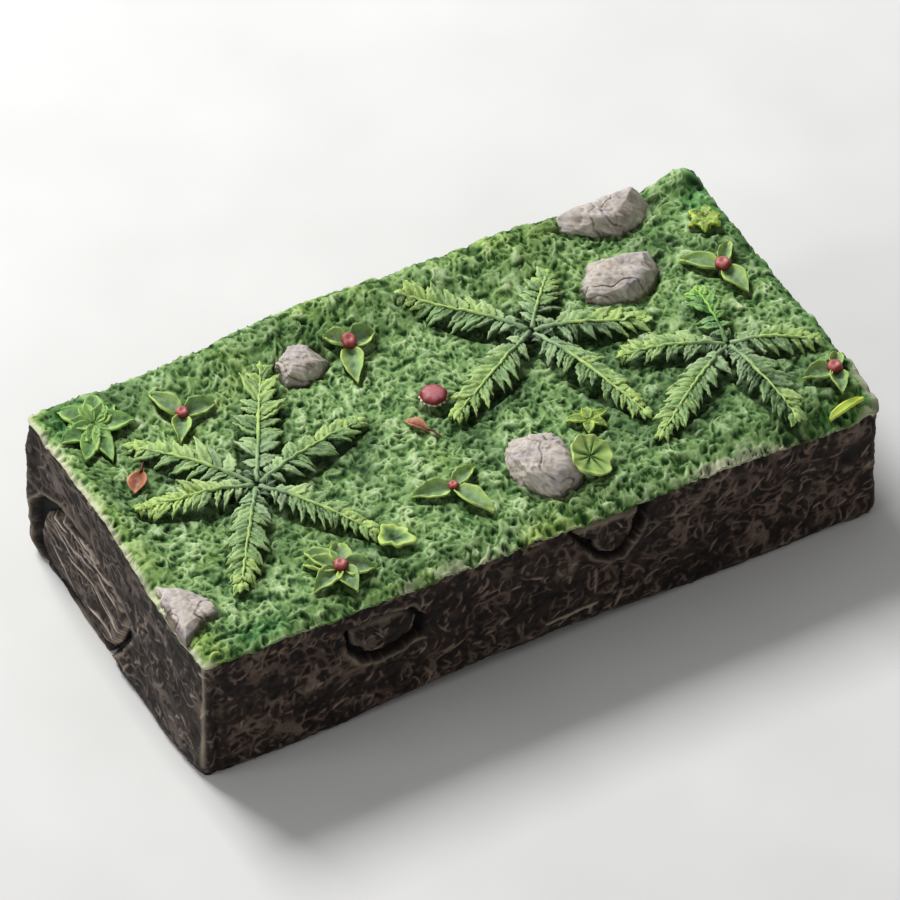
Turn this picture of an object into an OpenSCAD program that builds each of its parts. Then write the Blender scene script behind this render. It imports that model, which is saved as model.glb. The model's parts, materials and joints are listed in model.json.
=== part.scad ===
// Low cave ornament for an aquarium or terrarium: a hollow cast resin block with rough stone
// sides and a forest floor on its roof. It stands on its open rim, and a fish or frog goes in
// by the mouth in the rear wall. Stones, ferns, berried sprigs and leaves are separate
// castings: stones sit in pockets, rocks stand in openings in the moss, and plants are pegged.
// Millimetres. X runs along the block, the front wall faces -Y, and Z = 0 is the rim's plane.

/* [Block] */
// Length of the block, along X
block_length = 200; // [200:1:216]
// Depth of the block from front to rear, along Y
block_depth = 98; // [98:1:108]
// Height of the stone shell, without the moss
shell_height = 40; // [40:1:48]
// Thickness of the moss on the roof
moss_thickness = 3.6; // [3:0.2:5]
// Radius of the upright corners
corner_radius = 2.5; // [2:0.5:8]
// Height of the moss hill along the rear edge
hill_rise = 5; // [2:0.1:5.5]
// Length of that hill at its foot
hill_length = 136; // [80:2:140]
// How far the hill reaches in from the rear edge
hill_reach = 6.5; // [5:0.5:9]
// Height of the moss mound on the rear right corner
mound_rise = 3.5; // [2:0.1:4.5]

/* [Cave] */
// Thickness of the upright walls
wall = 8; // [7:0.5:10]
// Thickness of the roof at its thinnest, along the middle
roof = 7; // [6:0.5:9]
// How much lower the ceiling is at the long walls than in the middle
vault_rise = 7; // [4:0.5:9]
// Width of the mouth in the rear wall
mouth_width = 64; // [50:1:66]
// Height of the mouth at its crown
mouth_height = 26; // [22:1:28]
// Height of the mouth's straight jambs
mouth_spring = 10; // [6:1:12]
// Place of the mouth along the rear wall
mouth_x = -8; // [-12:1:0]
// Clearance under the middle of the front wall, for water to flow
front_arch_rise = 3; // [1:0.5:4]
// Width of that clearance
front_arch_width = 105; // [80:5:120]
// Place of that clearance along the front wall
front_arch_x = -8; // [-12:1:12]

/* [Fittings] */
// Depth of the pockets that hold the side stones
pocket_depth = 5; // [3:0.5:5.5]
// Groove around a side stone
pocket_gap = 1.2; // [0.8:0.1:1.6]
// How far a side stone stands proud of its wall
stone_proud = 0.4; // [0:0.1:1]
// Radius of the peg under a fern or the toadstool
peg_radius = 2; // [1.5:0.1:2.4]
// Radius of the peg under a sprig
sprig_peg_radius = 0.9; // [0.6:0.1:1.1]
// How far the pegs go into the roof
peg_depth = 3; // [2:0.5:4]
// Gap for glue around pegs, pins and stems
glue_gap = 0.05; // [0.05:0.01:0.1]

/* [Plants] */
// How high a fern's frond arches off the moss
frond_rise = 3; // [2:0.25:4]
// Thickness of a frond
frond_thickness = 1.3; // [1:0.1:1.6]
// Spacing of the teeth along a frond
tooth_pitch = 2.4; // [2:0.2:4]
// Thickness of the small leaves
leaf_thickness = 0.9; // [0.7:0.1:1.1]
// Radius of the round leaf
round_leaf_radius = 6; // [4:0.2:6.4]
// Slope of the round leaf, which leans on the front rock
round_leaf_slope = 28; // [15:1:35]
// Radius of the toadstool's cap
cap_radius = 3.6; // [3:0.2:4.4]
// Height of the dome on that cap
cap_rise = 2; // [1.8:0.1:3]

/* [Hidden] */
$fn = 48;
wide_arc_fn = 360;
eps = 0.01;
half_length = block_length / 2;
half_depth = block_depth / 2;
moss_top = shell_height + moss_thickness;
hub_height = 1.2;
berry_pin_radius = 0.5;
crown_height = 2;
stem_half_width = 0.7;
stalk_radius = 1.5;
stalk_height = 2.2;

// Side stones: name, wall, and the outline on the wall seen from outside, from its middle.
STONES = [
    ["front_left_stone", "front",
        [[-58.5, 33], [-50, 33.5], [-40, 32.5], [-37, 28], [-37.5, 24], [-43, 21.5], [-49, 20.5], [-54, 21.5],
        [-57.5, 26.5]]],
    ["front_right_stone", "front",
        [[7, 37], [11, 38.5], [19, 38.5], [30, 37.5], [26.5, 28], [22.5, 23], [20, 22.5], [15.5, 25.5]]],
    ["left_end_stone", "left_end",
        [[-44.5, 5], [-45, 18], [-40.5, 24], [-31, 27.5], [-18, 28], [-8, 25.5], [3, 23], [7, 19.5],
        [8.3, 17], [4, 9], [-2, 2.2], [-38, 2.2]]],
    ["rear_left_stone", "rear", [[58, 8], [56, 20], [64, 27], [80, 26], [84, 16], [78, 6]]],
    ["rear_right_stone", "rear", [[-62, 22], [-58, 33], [-44, 34], [-36, 31], [-38, 24], [-48, 18]]],
    ["right_end_stone", "right_end",
        [[-30, 12], [-33, 24], [-24, 32], [-8, 33], [4, 27], [2, 16], [-10, 9]]]
];

// Rocks on the roof: name, height over the roof, share of the foot left at the top, and foot.
ROCKS = [
    ["rear_large_rock", 9, 0.85,
        [[54, 46], [59, 42], [64, 39.5], [70, 37], [77, 38], [83, 41], [86, 45], [84, 49], [56, 49]]],
    ["rear_small_rock", 8, 0.7,
        [[51, 20], [53, 17], [59, 15], [64, 12], [70, 17], [75, 22], [74, 28], [67, 33], [58, 32], [52, 27]]],
    ["rear_left_rock", 7.5, 0.7,
        [[-33, 30], [-29, 28.5], [-24, 29.5], [-20.5, 32], [-20, 36], [-22, 39.5], [-27, 41], [-32, 40],
        [-34, 36]]],
    ["front_rock", 9.5, 0.75,
        [[2, -34], [4, -38], [10, -41], [15, -40], [19, -36], [20, -29], [19, -21], [13, -17], [7, -17],
        [2, -21], [1, -27]]],
    ["corner_rock", 4.8, 0.85,
        [[-100, -18], [-95, -21], [-89, -27], [-88, -34], [-93, -37], [-100, -40]]]
];

// Ferns: name, place, and each frond's direction in degrees, length and width.
FERNS = [
    ["left", [-59, -0.5],
        [[60, 43, 12], [12, 37, 10], [-59, 36, 9], [-124, 38, 10], [170, 32, 9], [127, 37, 11]]],
    ["middle", [31.5, 15], [[132, 37, 11], [51, 23, 10], [-23, 31, 10], [-76, 44, 9], [-148, 38, 10]]],
    ["right", [74, -14.5], [[157, 29, 9], [-148, 39, 10], [-86, 33, 11], [-23, 24, 9], [81, 23, 8]]]
];

// Sprigs: name, place, berry radius, and each leaf's direction in degrees, length and width.
SPRIGS = [
    ["rear_left", [-63.5, 32], 1.6, [[115, 11, 6], [1, 10, 6], [-120, 10, 5]]],
    ["rear_middle", [-13, 33.5], 1.9, [[6, 8, 6], [-109, 13, 6], [143, 7, 5]]],
    ["front_middle", [-14.5, -25.5], 1.3, [[165, 11, 6], [-70, 14, 6], [28, 10, 5]]],
    ["front_left", [-54, -37], 1.8,
        [[143, 10, 6], [-157, 11, 6], [-25, 9, 7], [121, 11, 6], [66, 10, 6], [-90, 9, 6]]],
    ["rear_right", [88, 12], 2, [[-81, 11, 6], [135, 12, 6], [51, 10, 4]]],
    ["front_right", [94, -36], 1.9, [[174, 9, 6], [-104, 8, 5], [54, 7, 4]]]
];

// Plants with no berry: name, colour, place, and their leaves.
LEAFY = [
    ["corner_plant", "#8cc352", [-86, 38.5],
        [[-14, 11, 6], [-93, 12, 5], [-126, 15, 5], [-163, 12, 6], [128, 11, 6], [62, 10, 6], [24, 9, 5]]],
    ["clover", "#b4c93c", [93, 30],
        [[0, 5, 4], [60, 5, 4], [120, 5, 4], [180, 5, 4], [240, 5, 4], [300, 5, 4]]],
    ["leaf_tuft", "#a9cc4a", [28.5, -21], [[10, 6, 3], [80, 5, 3], [150, 6, 3], [-120, 5, 3], [-50, 5, 3]]]
];

// Fallen leaves: name, place, direction, length and width.
FALLEN = [
    ["fallen_leaf_left", [-89, 11.5], 48, 8, 4],
    ["fallen_leaf_middle", [-14.5, 4.5], -63, 8, 4]
];

TOADSTOOL = [-3, 6];
ROUND_LEAF = [21, -35];
ROUND_LEAF_FACING = -58;
CURLED_LEAF = [-36.5, -34.5];
EDGE_LEAF = [85.5, -47.5];

// ---------- Helpers ----------

// Radius of a circle, from a chord and the height of the arc over it
function arc_radius(chord, rise) = (chord * chord / 4 + rise * rise) / (2 * rise);
function total(points) = [for (p = points) 1] * points;
function centre(points) = total(points) / len(points);
function scaled(points, share) = let (c = centre(points)) [for (p = points) c + share * (p - c)];
function widened(points, gap) = let (c = centre(points)) [for (p = points) p + gap * (p - c) / norm(p - c)];

module upright_block(height) {
    reach_x = half_length - corner_radius;
    reach_y = half_depth - corner_radius;
    translate([-reach_x, -half_depth, 0]) cube([2 * reach_x, block_depth, height]);
    translate([-half_length, -reach_y, 0]) cube([block_length, 2 * reach_y, height]);
    for (sx = [-1, 1], sy = [-1, 1])
        translate([sx * reach_x, sy * reach_y, 0]) cylinder(r = corner_radius, h = height);
}

// Puts children on a wall: X to the right as seen from outside, Y up, and Z out of the wall.
module on_wall(name) {
    turn = name == "front" ? 0 : name == "right_end" ? 90 : name == "rear" ? 180 : 270;
    reach = (name == "front" || name == "rear") ? half_depth : half_length;
    rotate([0, 0, turn]) translate([0, -reach, 0]) rotate([90, 0, 0]) children();
}

module on_moss(place) translate([place[0], place[1], moss_top]) children();

// A peg from the roof's hole up through the moss, and a little way into what stands on it.
module peg(place, radius, extra = 0.5)
    translate([place[0], place[1], shell_height - peg_depth])
        cylinder(r = radius, h = peg_depth + moss_thickness + extra);

module peg_holes() {
    for (f = FERNS) peg(f[1], peg_radius + glue_gap, 5);
    for (s = SPRIGS) peg(s[1], sprig_peg_radius + glue_gap, 5);
    for (p = LEAFY) peg(p[2], sprig_peg_radius + glue_gap, 5);
    peg(TOADSTOOL, peg_radius + glue_gap, 5);
}

// ---------- Shell ----------

// The hollow under the roof, whose ceiling is a long shallow vault.
module chamber() {
    inner_length = block_length - 2 * wall;
    inner_depth = block_depth - 2 * wall;
    radius = arc_radius(inner_depth, vault_rise);
    intersection() {
        translate([-inner_length / 2, -inner_depth / 2, -1]) cube([inner_length, inner_depth, shell_height]);
        translate([0, 0, shell_height - roof - radius]) rotate([0, 90, 0])
            cylinder(r = radius, h = block_length, center = true, $fn = wide_arc_fn);
    }
}

// A segmental arch on straight jambs, right through the rear wall.
module mouth() {
    rise = mouth_height - mouth_spring;
    radius = arc_radius(mouth_width, rise);
    cut = wall + 2;
    on_wall("rear") translate([-mouth_x, 0, -wall - 1]) {
        translate([-mouth_width / 2, -1, 0]) cube([mouth_width, mouth_spring + 1, cut]);
        intersection() {
            translate([-mouth_width / 2, mouth_spring - eps, 0]) cube([mouth_width, rise + 1, cut]);
            translate([0, mouth_height - radius, 0]) cylinder(r = radius, h = cut, $fn = wide_arc_fn);
        }
    }
}

module front_arch() {
    radius = arc_radius(front_arch_width, front_arch_rise);
    on_wall("front") translate([front_arch_x, front_arch_rise - radius, -wall - 1])
        cylinder(r = radius, h = wall + 2, $fn = wide_arc_fn);
}

module stone_pocket(stone) on_wall(stone[1]) translate([0, 0, -pocket_depth])
    linear_extrude(pocket_depth + 1) polygon(widened(stone[2], pocket_gap));

module cave_shell() color("#3d322d") difference() {
    upright_block(shell_height);
    chamber();
    mouth();
    front_arch();
    for (stone = STONES) stone_pocket(stone);
    peg_holes();
}

module side_stone(stone) color("#5a5048") on_wall(stone[1]) translate([0, 0, -pocket_depth])
    linear_extrude(pocket_depth + stone_proud) polygon(stone[2]);

// ---------- Moss and rocks ----------

// A long low hill whose crest line climbs towards the rear edge.
module rear_hill() {
    slope = atan(hill_rise / hill_reach);
    radius = arc_radius(hill_length, hill_rise);
    translate([-14, half_depth - hill_reach, moss_top]) rotate([slope, 0, 0]) translate([0, 0, -radius])
        rotate([90, 0, 0]) cylinder(r = radius, h = 40, center = true, $fn = wide_arc_fn);
}

module corner_mound() {
    radius = 8.4;
    translate([half_length - 6.3, half_depth - 2.2, moss_top + mound_rise - radius]) sphere(r = radius);
}

// The part of a child that lies over the roof
module over_roof() intersection() {
    translate([0, 0, shell_height]) upright_block(moss_thickness + max(hill_rise, mound_rise) + 1);
    children();
}

module moss_layer() color("#5f9a5c") difference() {
    union() {
        translate([0, 0, shell_height]) upright_block(moss_thickness);
        over_roof() rear_hill();
        over_roof() corner_mound();
    }
    for (r = ROCKS)
        translate([0, 0, shell_height - 1]) linear_extrude(moss_thickness + 6) polygon(widened(r[3], 0.3));
    peg_holes();
}

// Where the round leaf lies: its middle, with Z square to the leaf.
module on_round_leaf() {
    lift = round_leaf_radius * sin(round_leaf_slope);
    on_moss(ROUND_LEAF) translate([0, 0, lift]) rotate([0, 0, ROUND_LEAF_FACING])
        rotate([0, round_leaf_slope, 0]) children();
}

// A boulder that narrows above the moss, with a seat cut in it wherever the round leaf lies.
module rock(spec) color("#b9b0ab") difference() {
    translate([0, 0, shell_height]) hull() {
        linear_extrude(moss_thickness + 0.5) polygon(spec[3]);
        linear_extrude(spec[1]) polygon(scaled(spec[3], spec[2]));
    }
    on_round_leaf() cylinder(r = round_leaf_radius + 0.5, h = 20);
}

// ---------- Ferns ----------

// Half the width of a frond at a share t of its length: broad in the middle, pointed at the tip
function blade_half_width(t, width) = width / 2 * pow(sin(180 * pow(0.04 + 0.94 * t, 0.75)), 0.8);
function blade_side(length, width) = let (
        start = 6,
        count = floor((length - 1 - start) / tooth_pitch),
        step = (length - 1 - start) / count
    ) [
        for (i = [0:count - 1]) let (
            x = start + i * step,
            reach = max(stem_half_width + 0.3, blade_half_width((i + 0.6) / count, width))
        ) each [[x, stem_half_width], [x + 0.95 * step, reach]]
    ];
function mirrored(side) = [for (i = [len(side) - 1:-1:0]) [side[i][0], -side[i][1]]];
function blade_outline(length, width) = let (
        root = [[peg_radius + glue_gap, stem_half_width]],
        side = concat(root, blade_side(length, width))
    ) concat(side, [[length, 0]], mirrored(side));

// A saw-toothed frond bent into a low arch, from the crown to its tip on the moss.
module frond(place, spec) {
    radius = arc_radius(spec[1], frond_rise);
    color("#8fbf45") on_moss(place) rotate([0, 0, spec[0]]) intersection() {
        linear_extrude(frond_rise + 3) polygon(blade_outline(spec[1], spec[2]));
        translate([spec[1] / 2, 0, frond_rise - radius]) rotate([90, 0, 0]) difference() {
            cylinder(r = radius + frond_thickness, h = 2 * spec[2], center = true, $fn = wide_arc_fn);
            cylinder(r = radius, h = 3 * spec[2], center = true, $fn = wide_arc_fn);
        }
    }
}

// The middle of a fern: a peg under a flange, with a slot for the stem of each frond.
module fern_crown(fern) color("#3f6b46") {
    slot_half_width = stem_half_width + glue_gap;
    peg(fern[1], peg_radius, 1);
    on_moss(fern[1]) difference() {
        cylinder(r = 3.4, h = crown_height);
        for (f = fern[2])
            rotate([0, 0, f[0]]) translate([peg_radius, -slot_half_width, 0.5])
                cube([4, 2 * slot_half_width, 4]);
    }
}

// ---------- Sprigs, leaves and berries ----------

function leaf_point(length, width, t) = [length * t, width / 2 * sin(180 * t)];
function leaf_outline(length, width, steps = 8) = let (
        side = [for (i = [1:steps - 1]) leaf_point(length, width, i / steps)]
    ) concat([[0, 0]], side, [[length, 0]], mirrored(side));
module leaf(length, width) linear_extrude(leaf_thickness) polygon(leaf_outline(length, width));

// Leaves around a hub that is pegged to the roof.
module leafy_plant(place, leaves, shade) color(shade) {
    peg(place, sprig_peg_radius);
    on_moss(place) {
        cylinder(r = 1.3, h = hub_height);
        for (l = leaves) rotate([0, 0, l[0]]) leaf(l[1], l[2]);
    }
}

// A sprig's hub is drilled from above for its berry's pin.
module sprig(spec) color("#a9cc4a") difference() {
    leafy_plant(spec[1], spec[3], "#a9cc4a");
    on_moss(spec[1]) cylinder(r = berry_pin_radius + glue_gap, h = hub_height + 1);
}

module berry(spec) color("#c2353f") on_moss(spec[1]) {
    radius = spec[2];
    cylinder(r = berry_pin_radius, h = hub_height + radius);
    intersection() {
        translate([0, 0, hub_height + 0.6 * radius]) sphere(r = radius);
        translate([-radius, -radius, hub_height]) cube(2 * radius);
    }
}

module round_leaf() color("#93c83a") on_round_leaf() cylinder(r = round_leaf_radius, h = leaf_thickness);

module curled_leaf() color("#a9cc4a") on_moss(CURLED_LEAF) difference() {
    cylinder(r = 3.8, h = 1.8);
    translate([0, 0, 0.6]) cylinder(r = 2.4, h = 2);
}

module edge_leaf() color("#b6d451") on_moss(EDGE_LEAF) rotate([0, 0, 4]) leaf(11, 2.6);

module fallen_leaf(spec) color("#b2593a") on_moss(spec[1]) rotate([0, 0, spec[2]]) {
    leaf(spec[3], spec[4]);
    translate([spec[3] - 1.5, -0.4, 0]) cube([0.7 * spec[3], 0.8, leaf_thickness]);
}

// ---------- Toadstool ----------

module toadstool_stalk() color("#cfd8bd") {
    peg(TOADSTOOL, peg_radius, 0);
    on_moss(TOADSTOOL) cylinder(r = stalk_radius, h = stalk_height);
}

// A low domed cap, open underneath to sit over the end of the stalk.
module toadstool_cap() {
    dome_radius = arc_radius(2 * cap_radius, cap_rise);
    color("#c2354a") on_moss(TOADSTOOL) difference() {
        intersection() {
            translate([0, 0, hub_height + cap_rise - dome_radius]) sphere(r = dome_radius);
            translate([-cap_radius, -cap_radius, hub_height]) cube(2 * cap_radius);
        }
        cylinder(r = stalk_radius + glue_gap, h = stalk_height);
    }
}

// ---------- The pieces ----------

cave_shell();
moss_layer();
for (s = STONES) side_stone(s);
for (r = ROCKS) rock(r);
for (f = FERNS) {
    fern_crown(f);
    for (i = [1:len(f[2])])
        frond(f[1], f[2][i - 1]);
}
for (s = SPRIGS) {
    sprig(s);
    berry(s);
}
for (p = LEAFY) leafy_plant(p[2], p[3], p[1]);
for (l = FALLEN) fallen_leaf(l);
round_leaf();
curled_leaf();
edge_leaf();
toadstool_stalk();
toadstool_cap();
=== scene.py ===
"""Looks of the resin cave ornament: a hollow stone block with a mossy, planted roof.

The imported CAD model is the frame, and each visible piece here stands for one CAD node. Walls,
stones, rocks and berries take their places from the nodes. Ferns, sprigs and rosettes repeat the
headings and sizes in the CAD source. Lengths are millimetres until a mesh is made.
"""
import json
import math

import bpy
import numpy as np
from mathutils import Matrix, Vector

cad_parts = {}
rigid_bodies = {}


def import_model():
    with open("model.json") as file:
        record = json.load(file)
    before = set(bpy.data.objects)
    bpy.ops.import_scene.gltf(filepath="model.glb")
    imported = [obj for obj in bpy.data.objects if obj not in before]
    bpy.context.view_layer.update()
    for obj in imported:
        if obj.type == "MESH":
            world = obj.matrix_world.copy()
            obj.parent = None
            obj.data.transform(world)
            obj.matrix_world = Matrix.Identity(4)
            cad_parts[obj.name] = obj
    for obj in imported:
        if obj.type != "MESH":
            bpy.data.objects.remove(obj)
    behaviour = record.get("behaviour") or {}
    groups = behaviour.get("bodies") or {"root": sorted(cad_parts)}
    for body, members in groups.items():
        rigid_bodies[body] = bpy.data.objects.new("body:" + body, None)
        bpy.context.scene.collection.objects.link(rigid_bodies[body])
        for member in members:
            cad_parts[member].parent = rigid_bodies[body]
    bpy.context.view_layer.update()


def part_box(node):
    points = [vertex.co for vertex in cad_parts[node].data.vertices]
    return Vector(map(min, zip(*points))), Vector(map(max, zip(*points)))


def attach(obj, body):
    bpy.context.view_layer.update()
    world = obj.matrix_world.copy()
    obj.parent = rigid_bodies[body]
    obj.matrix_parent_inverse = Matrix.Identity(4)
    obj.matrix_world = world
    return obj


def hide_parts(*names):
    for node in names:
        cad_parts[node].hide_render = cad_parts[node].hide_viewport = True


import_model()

MM = 0.001
TAU = 2 * math.pi


# ---------- Numbers from the frame ----------

def corners(node):
    """Lowest and highest corner of a CAD node, in mm."""
    low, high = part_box(node)
    return np.array(low) / MM, np.array(high) / MM


def middle(node):
    """The middle of a CAD node's box, in mm."""
    low, high = corners(node)
    return (low + high) / 2


def cad_points(node):
    """The vertices of a CAD node, in mm."""
    mesh = bpy.data.objects[node].data
    flat = np.empty(len(mesh.vertices) * 3)
    mesh.vertices.foreach_get("co", flat)
    return flat.reshape(-1, 3) / MM


def around(flat):
    """Distinct points of a flat outline, in order round their middle."""
    flat = np.unique(np.round(flat, 3), axis=0)
    centre = flat.mean(axis=0)
    return flat[np.argsort(np.arctan2(flat[:, 1] - centre[1], flat[:, 0] - centre[0]))]


def foot_outline(node):
    """The outline of a rock where it stands on the roof."""
    points = cad_points(node)
    return around(points[points[:, 2] < points[:, 2].min() + 0.01][:, :2])


def wall_outline(node, wall):
    """A side stone's outline on its wall: places along the wall, and heights."""
    points = cad_points(node)
    axis = 1 if wall in ("front", "rear") else 0
    outward = points[:, axis] * (-1 if wall in ("front", "left_end") else 1)
    return around(points[outward > outward.max() - 0.01][:, [1 - axis, 2]])


HALF_LENGTH, HALF_DEPTH, ROOF_Z = corners("cave_shell")[1]
# The upright corners are a little sharper here than in CAD.
CORNER = 2.0
# The rest repeat the CAD source, because the frame doesn't state them.
MOSS_THICKNESS = 3.6
MOSS_Z = ROOF_Z + MOSS_THICKNESS
WALL = 8.0
ROOF = 7.0
VAULT_RISE = 7.0
MOUTH_X, MOUTH_HALF, MOUTH_CROWN, MOUTH_RADIUS = -8.0, 32.0, 26.0, 40.0
FRONT_ARCH_X, FRONT_ARCH_RISE, FRONT_ARCH_HALF = -8.0, 3.0, 52.5


# ---------- Noise and smooth steps ----------

def smooth(low, high, value):
    """0 at low, 1 at high, and smooth between them, whichever of the two is larger."""
    t = np.clip((value - low) / (high - low), 0, 1)
    return t * t * (3 - 2 * t)


def hump(value, centre, width):
    """1 at the centre, falling off smoothly over the width on either side."""
    return np.exp(-((value - centre) / width) ** 2)


def blend(grid, iu, iv, ju, jv, fu, fv):
    """The value between four neighbours of a grid, at shares fu and fv of the way across."""
    near, far = (grid[v, iu] * (1 - fu) + grid[v, ju] * fu for v in (iv, jv))
    return near * (1 - fv) + far * fv


def noise2(x, y, cell, seed, octaves=1):
    """Smooth noise from -1 to 1 over a plane, with features about one cell wide."""
    tile = 64
    table = np.random.default_rng(seed).random((tile, tile)) * 2 - 1
    total, size, weight, weights = 0, cell, 1.0, 0.0
    for octave in range(octaves):
        u, v = np.asarray(x) / size + 17.3 * octave, np.asarray(y) / size + 5.1 * octave
        iu, iv = np.floor(u).astype(int), np.floor(v).astype(int)
        fu, fv = smooth(0, 1, u - iu), smooth(0, 1, v - iv)
        total = total + weight * blend(table, iu % tile, iv % tile, (iu + 1) % tile, (iv + 1) % tile, fu, fv)
        weights += weight
        size, weight = size / 2, weight / 2
    return total / weights


def noise3(points, cell, seed, octaves=1):
    """Smooth noise from about -1 to 1 at points in space: three crossed planes, added up."""
    x, y, z = points[:, 0], points[:, 1], points[:, 2]
    return (noise2(x + 0.7 * z, y - 0.4 * z, cell, seed, octaves)
            + noise2(y + 0.6 * x, z + 0.3 * x, cell, seed + 1, octaves)
            + noise2(z - 0.5 * y, x + 0.2 * y, cell, seed + 2, octaves)) / 1.8


# ---------- Relief made of many small strokes ----------

class Relief:
    """A height map over a rectangle, built up from rounded strokes and read at any place."""

    def __init__(self, low, high, step, wrap=False):
        self.low, self.high, self.step, self.wrap = low, high, step, wrap
        self.columns = int(round((high[0] - low[0]) / step)) + (0 if wrap else 1)
        self.rows = int(round((high[1] - low[1]) / step)) + 1
        self.height = np.zeros((self.rows, self.columns))

    def cells(self, places, half_width, axis, count):
        """The first grid line that a stroke reaches along an axis, and the one after its last."""
        first = int((places.min() - half_width - self.low[axis]) / self.step)
        last = int((places.max() + half_width - self.low[axis]) / self.step) + 2
        return (first, last) if self.wrap and axis == 0 else (max(0, first), min(count, last))

    def stroke(self, x, y, heading, length, half_width, height, turn):
        """Raises one round-backed stroke along an arc; it thins out at both ends."""
        count = max(6, int(length / (0.8 * half_width)))
        t = np.linspace(-0.5, 0.5, count)
        px = np.cumsum(np.cos(heading + turn * t)) * length / count
        py = np.cumsum(np.sin(heading + turn * t)) * length / count
        px, py = px + x - px.mean(), py + y - py.mean()
        radius = half_width * (1 - 0.7 * np.abs(2 * t) ** 3)
        i0, i1 = self.cells(px, half_width, 0, self.columns)
        j0, j1 = self.cells(py, half_width, 1, self.rows)
        if i1 <= i0 or j1 <= j0:
            return
        gx = (self.low[0] + self.step * np.arange(i0, i1))[None, :, None]
        gy = (self.low[1] + self.step * np.arange(j0, j1))[:, None, None]
        inside = 1 - ((gx - px) ** 2 + (gy - py) ** 2) / radius ** 2
        bump = height * np.sqrt(np.clip(inside.max(axis=2), 0, 1))
        patch = np.arange(j0, j1)[:, None], np.arange(i0, i1) % self.columns
        self.height[patch] = np.maximum(self.height[patch], bump)

    def scatter(self, seed, density, lengths, half_widths, heights, turn, headings=None, spread=0.0):
        """Many strokes at random, so many per square mm, along some headings or any."""
        rng = np.random.default_rng(seed)
        count = int(density * (self.high[0] - self.low[0]) * (self.high[1] - self.low[1]))
        for _ in range(count):
            x, y = rng.uniform(self.low[0], self.high[0]), rng.uniform(self.low[1], self.high[1])
            if headings is None:
                heading = rng.uniform(0, TAU)
            else:
                heading = rng.choice(headings) + rng.normal(0, spread)
            self.stroke(x, y, heading, rng.uniform(*lengths), rng.uniform(*half_widths),
                        rng.uniform(*heights), rng.normal(0, turn))

    def at(self, x, y):
        """The relief's height at places on its plane."""
        u = (np.asarray(x) - self.low[0]) / self.step
        v = np.clip((np.asarray(y) - self.low[1]) / self.step, 0, self.rows - 1.001)
        if not self.wrap:
            u = np.clip(u, 0, self.columns - 1.001)
        iu, iv = np.floor(u).astype(int), np.floor(v).astype(int)
        return blend(self.height, iu % self.columns, iv, (iu + 1) % self.columns, iv + 1, u - iu, v - iv)


# ---------- Meshes ----------

def as_object(name, points, faces, fields=None):
    """Makes a smooth mesh object from points in mm, with a float attribute for each field."""
    mesh = bpy.data.meshes.new(name)
    mesh.from_pydata((np.asarray(points) * MM).tolist(), [], [list(map(int, f)) for f in faces])
    mesh.polygons.foreach_set("use_smooth", [True] * len(mesh.polygons))
    for key, values in (fields or {}).items():
        attribute = mesh.attributes.new(key, "FLOAT", "POINT")
        attribute.data.foreach_set("value", np.asarray(values, dtype=np.float32))
    mesh.update()
    mesh.validate()
    obj = bpy.data.objects.new(name, mesh)
    bpy.context.collection.objects.link(obj)
    return obj


def add_piece(obj, node, material):
    """Gives a piece its material, attaches it to the root body, and hides the CAD node that it stands for.
    """
    obj.data.materials.append(material)
    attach(obj, "root")
    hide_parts(node)


def grid_faces(rows, columns, closed=False):
    """Quads between the rows of a grid of points, wrapped round where it is closed."""
    across = columns if closed else columns - 1
    j, i = np.meshgrid(np.arange(rows - 1), np.arange(across), indexing="ij")
    k = (i + 1) % columns
    a, b, c, d = j * columns + i, j * columns + k, (j + 1) * columns + k, (j + 1) * columns + i
    return np.stack([a, b, c, d], axis=-1).reshape(-1, 4).tolist()


def flipped(faces):
    """The same faces, looking the other way."""
    return [f[::-1] for f in faces]


def fan_faces(ring, tip, flip=False):
    """Triangles from a ring of points to one tip."""
    ring = list(ring)
    return [(b, a, tip) if flip else (a, b, tip) for a, b in zip(ring, ring[1:] + ring[:1])]


def stack(rings, last_tip, first_tip, flip=False):
    """Closes a stack of rings with a tip at each end; flip turns it inside out."""
    rows, columns = len(rings), len(rings[0])
    count = rows * columns
    faces = (grid_faces(rows, columns, closed=True) + fan_faces(range(count - columns, count), count)
             + fan_faces(range(columns), count + 1, flip=True))
    return np.concatenate([*rings, [last_tip, first_tip]]), flipped(faces) if flip else faces


def border_of(rows, columns):
    """The outer points of a grid, in order round it."""
    grid = np.arange(rows * columns).reshape(rows, columns)
    return [*grid[0], *grid[1:, -1], *grid[-1, -2::-1], *grid[-2:0:-1, 0]]


def slab(top, thick):
    """Closes a grid of points, shaped rows x columns x 3, into a thin solid that thick."""
    rows, columns = top.shape[:2]
    size = rows * columns
    upper = top.reshape(-1, 3)
    over = flipped(grid_faces(rows, columns))
    under = [[i + size for i in f[::-1]] for f in over]
    border = border_of(rows, columns)
    sides = [[i, j, j + size, i + size] for i, j in zip(border, border[1:] + border[:1])]
    return np.concatenate([upper, upper - [0, 0, thick]]), over + under + sides


class Bundle:
    """Gathers several small closed shapes, with their paint fields, into one piece."""

    def __init__(self):
        self.points, self.faces, self.count = [], [], 0
        # The middle one of these fields darkens creases, hollows and the gaps between leaflets: painted
        # shade.
        self.fields = {"edge": [], "fold": [], "pale": []}

    def add(self, shape, **fields):
        points, faces = shape
        self.points.append(points)
        self.faces.extend([[i + self.count for i in f] for f in faces])
        self.count += len(points)
        for key in self.fields:
            self.fields[key].append(np.broadcast_to(fields.get(key, 0.0), len(points)))

    def piece(self, name, node, material, rough, cell, seed):
        """Roughens the shapes, drapes them over the bank, and makes them one piece."""
        points = np.concatenate(self.points)
        wobble = [noise3(points, cell, seed + 10 * k, 2) for k in range(3)]
        points = points + rough * np.column_stack(wobble)
        points[:, 2] += bank(points[:, 0], points[:, 1])
        fields = {key: np.concatenate(values) for key, values in self.fields.items()}
        add_piece(as_object(name, points, self.faces, fields), node, material)


# ---------- Materials ----------

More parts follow.
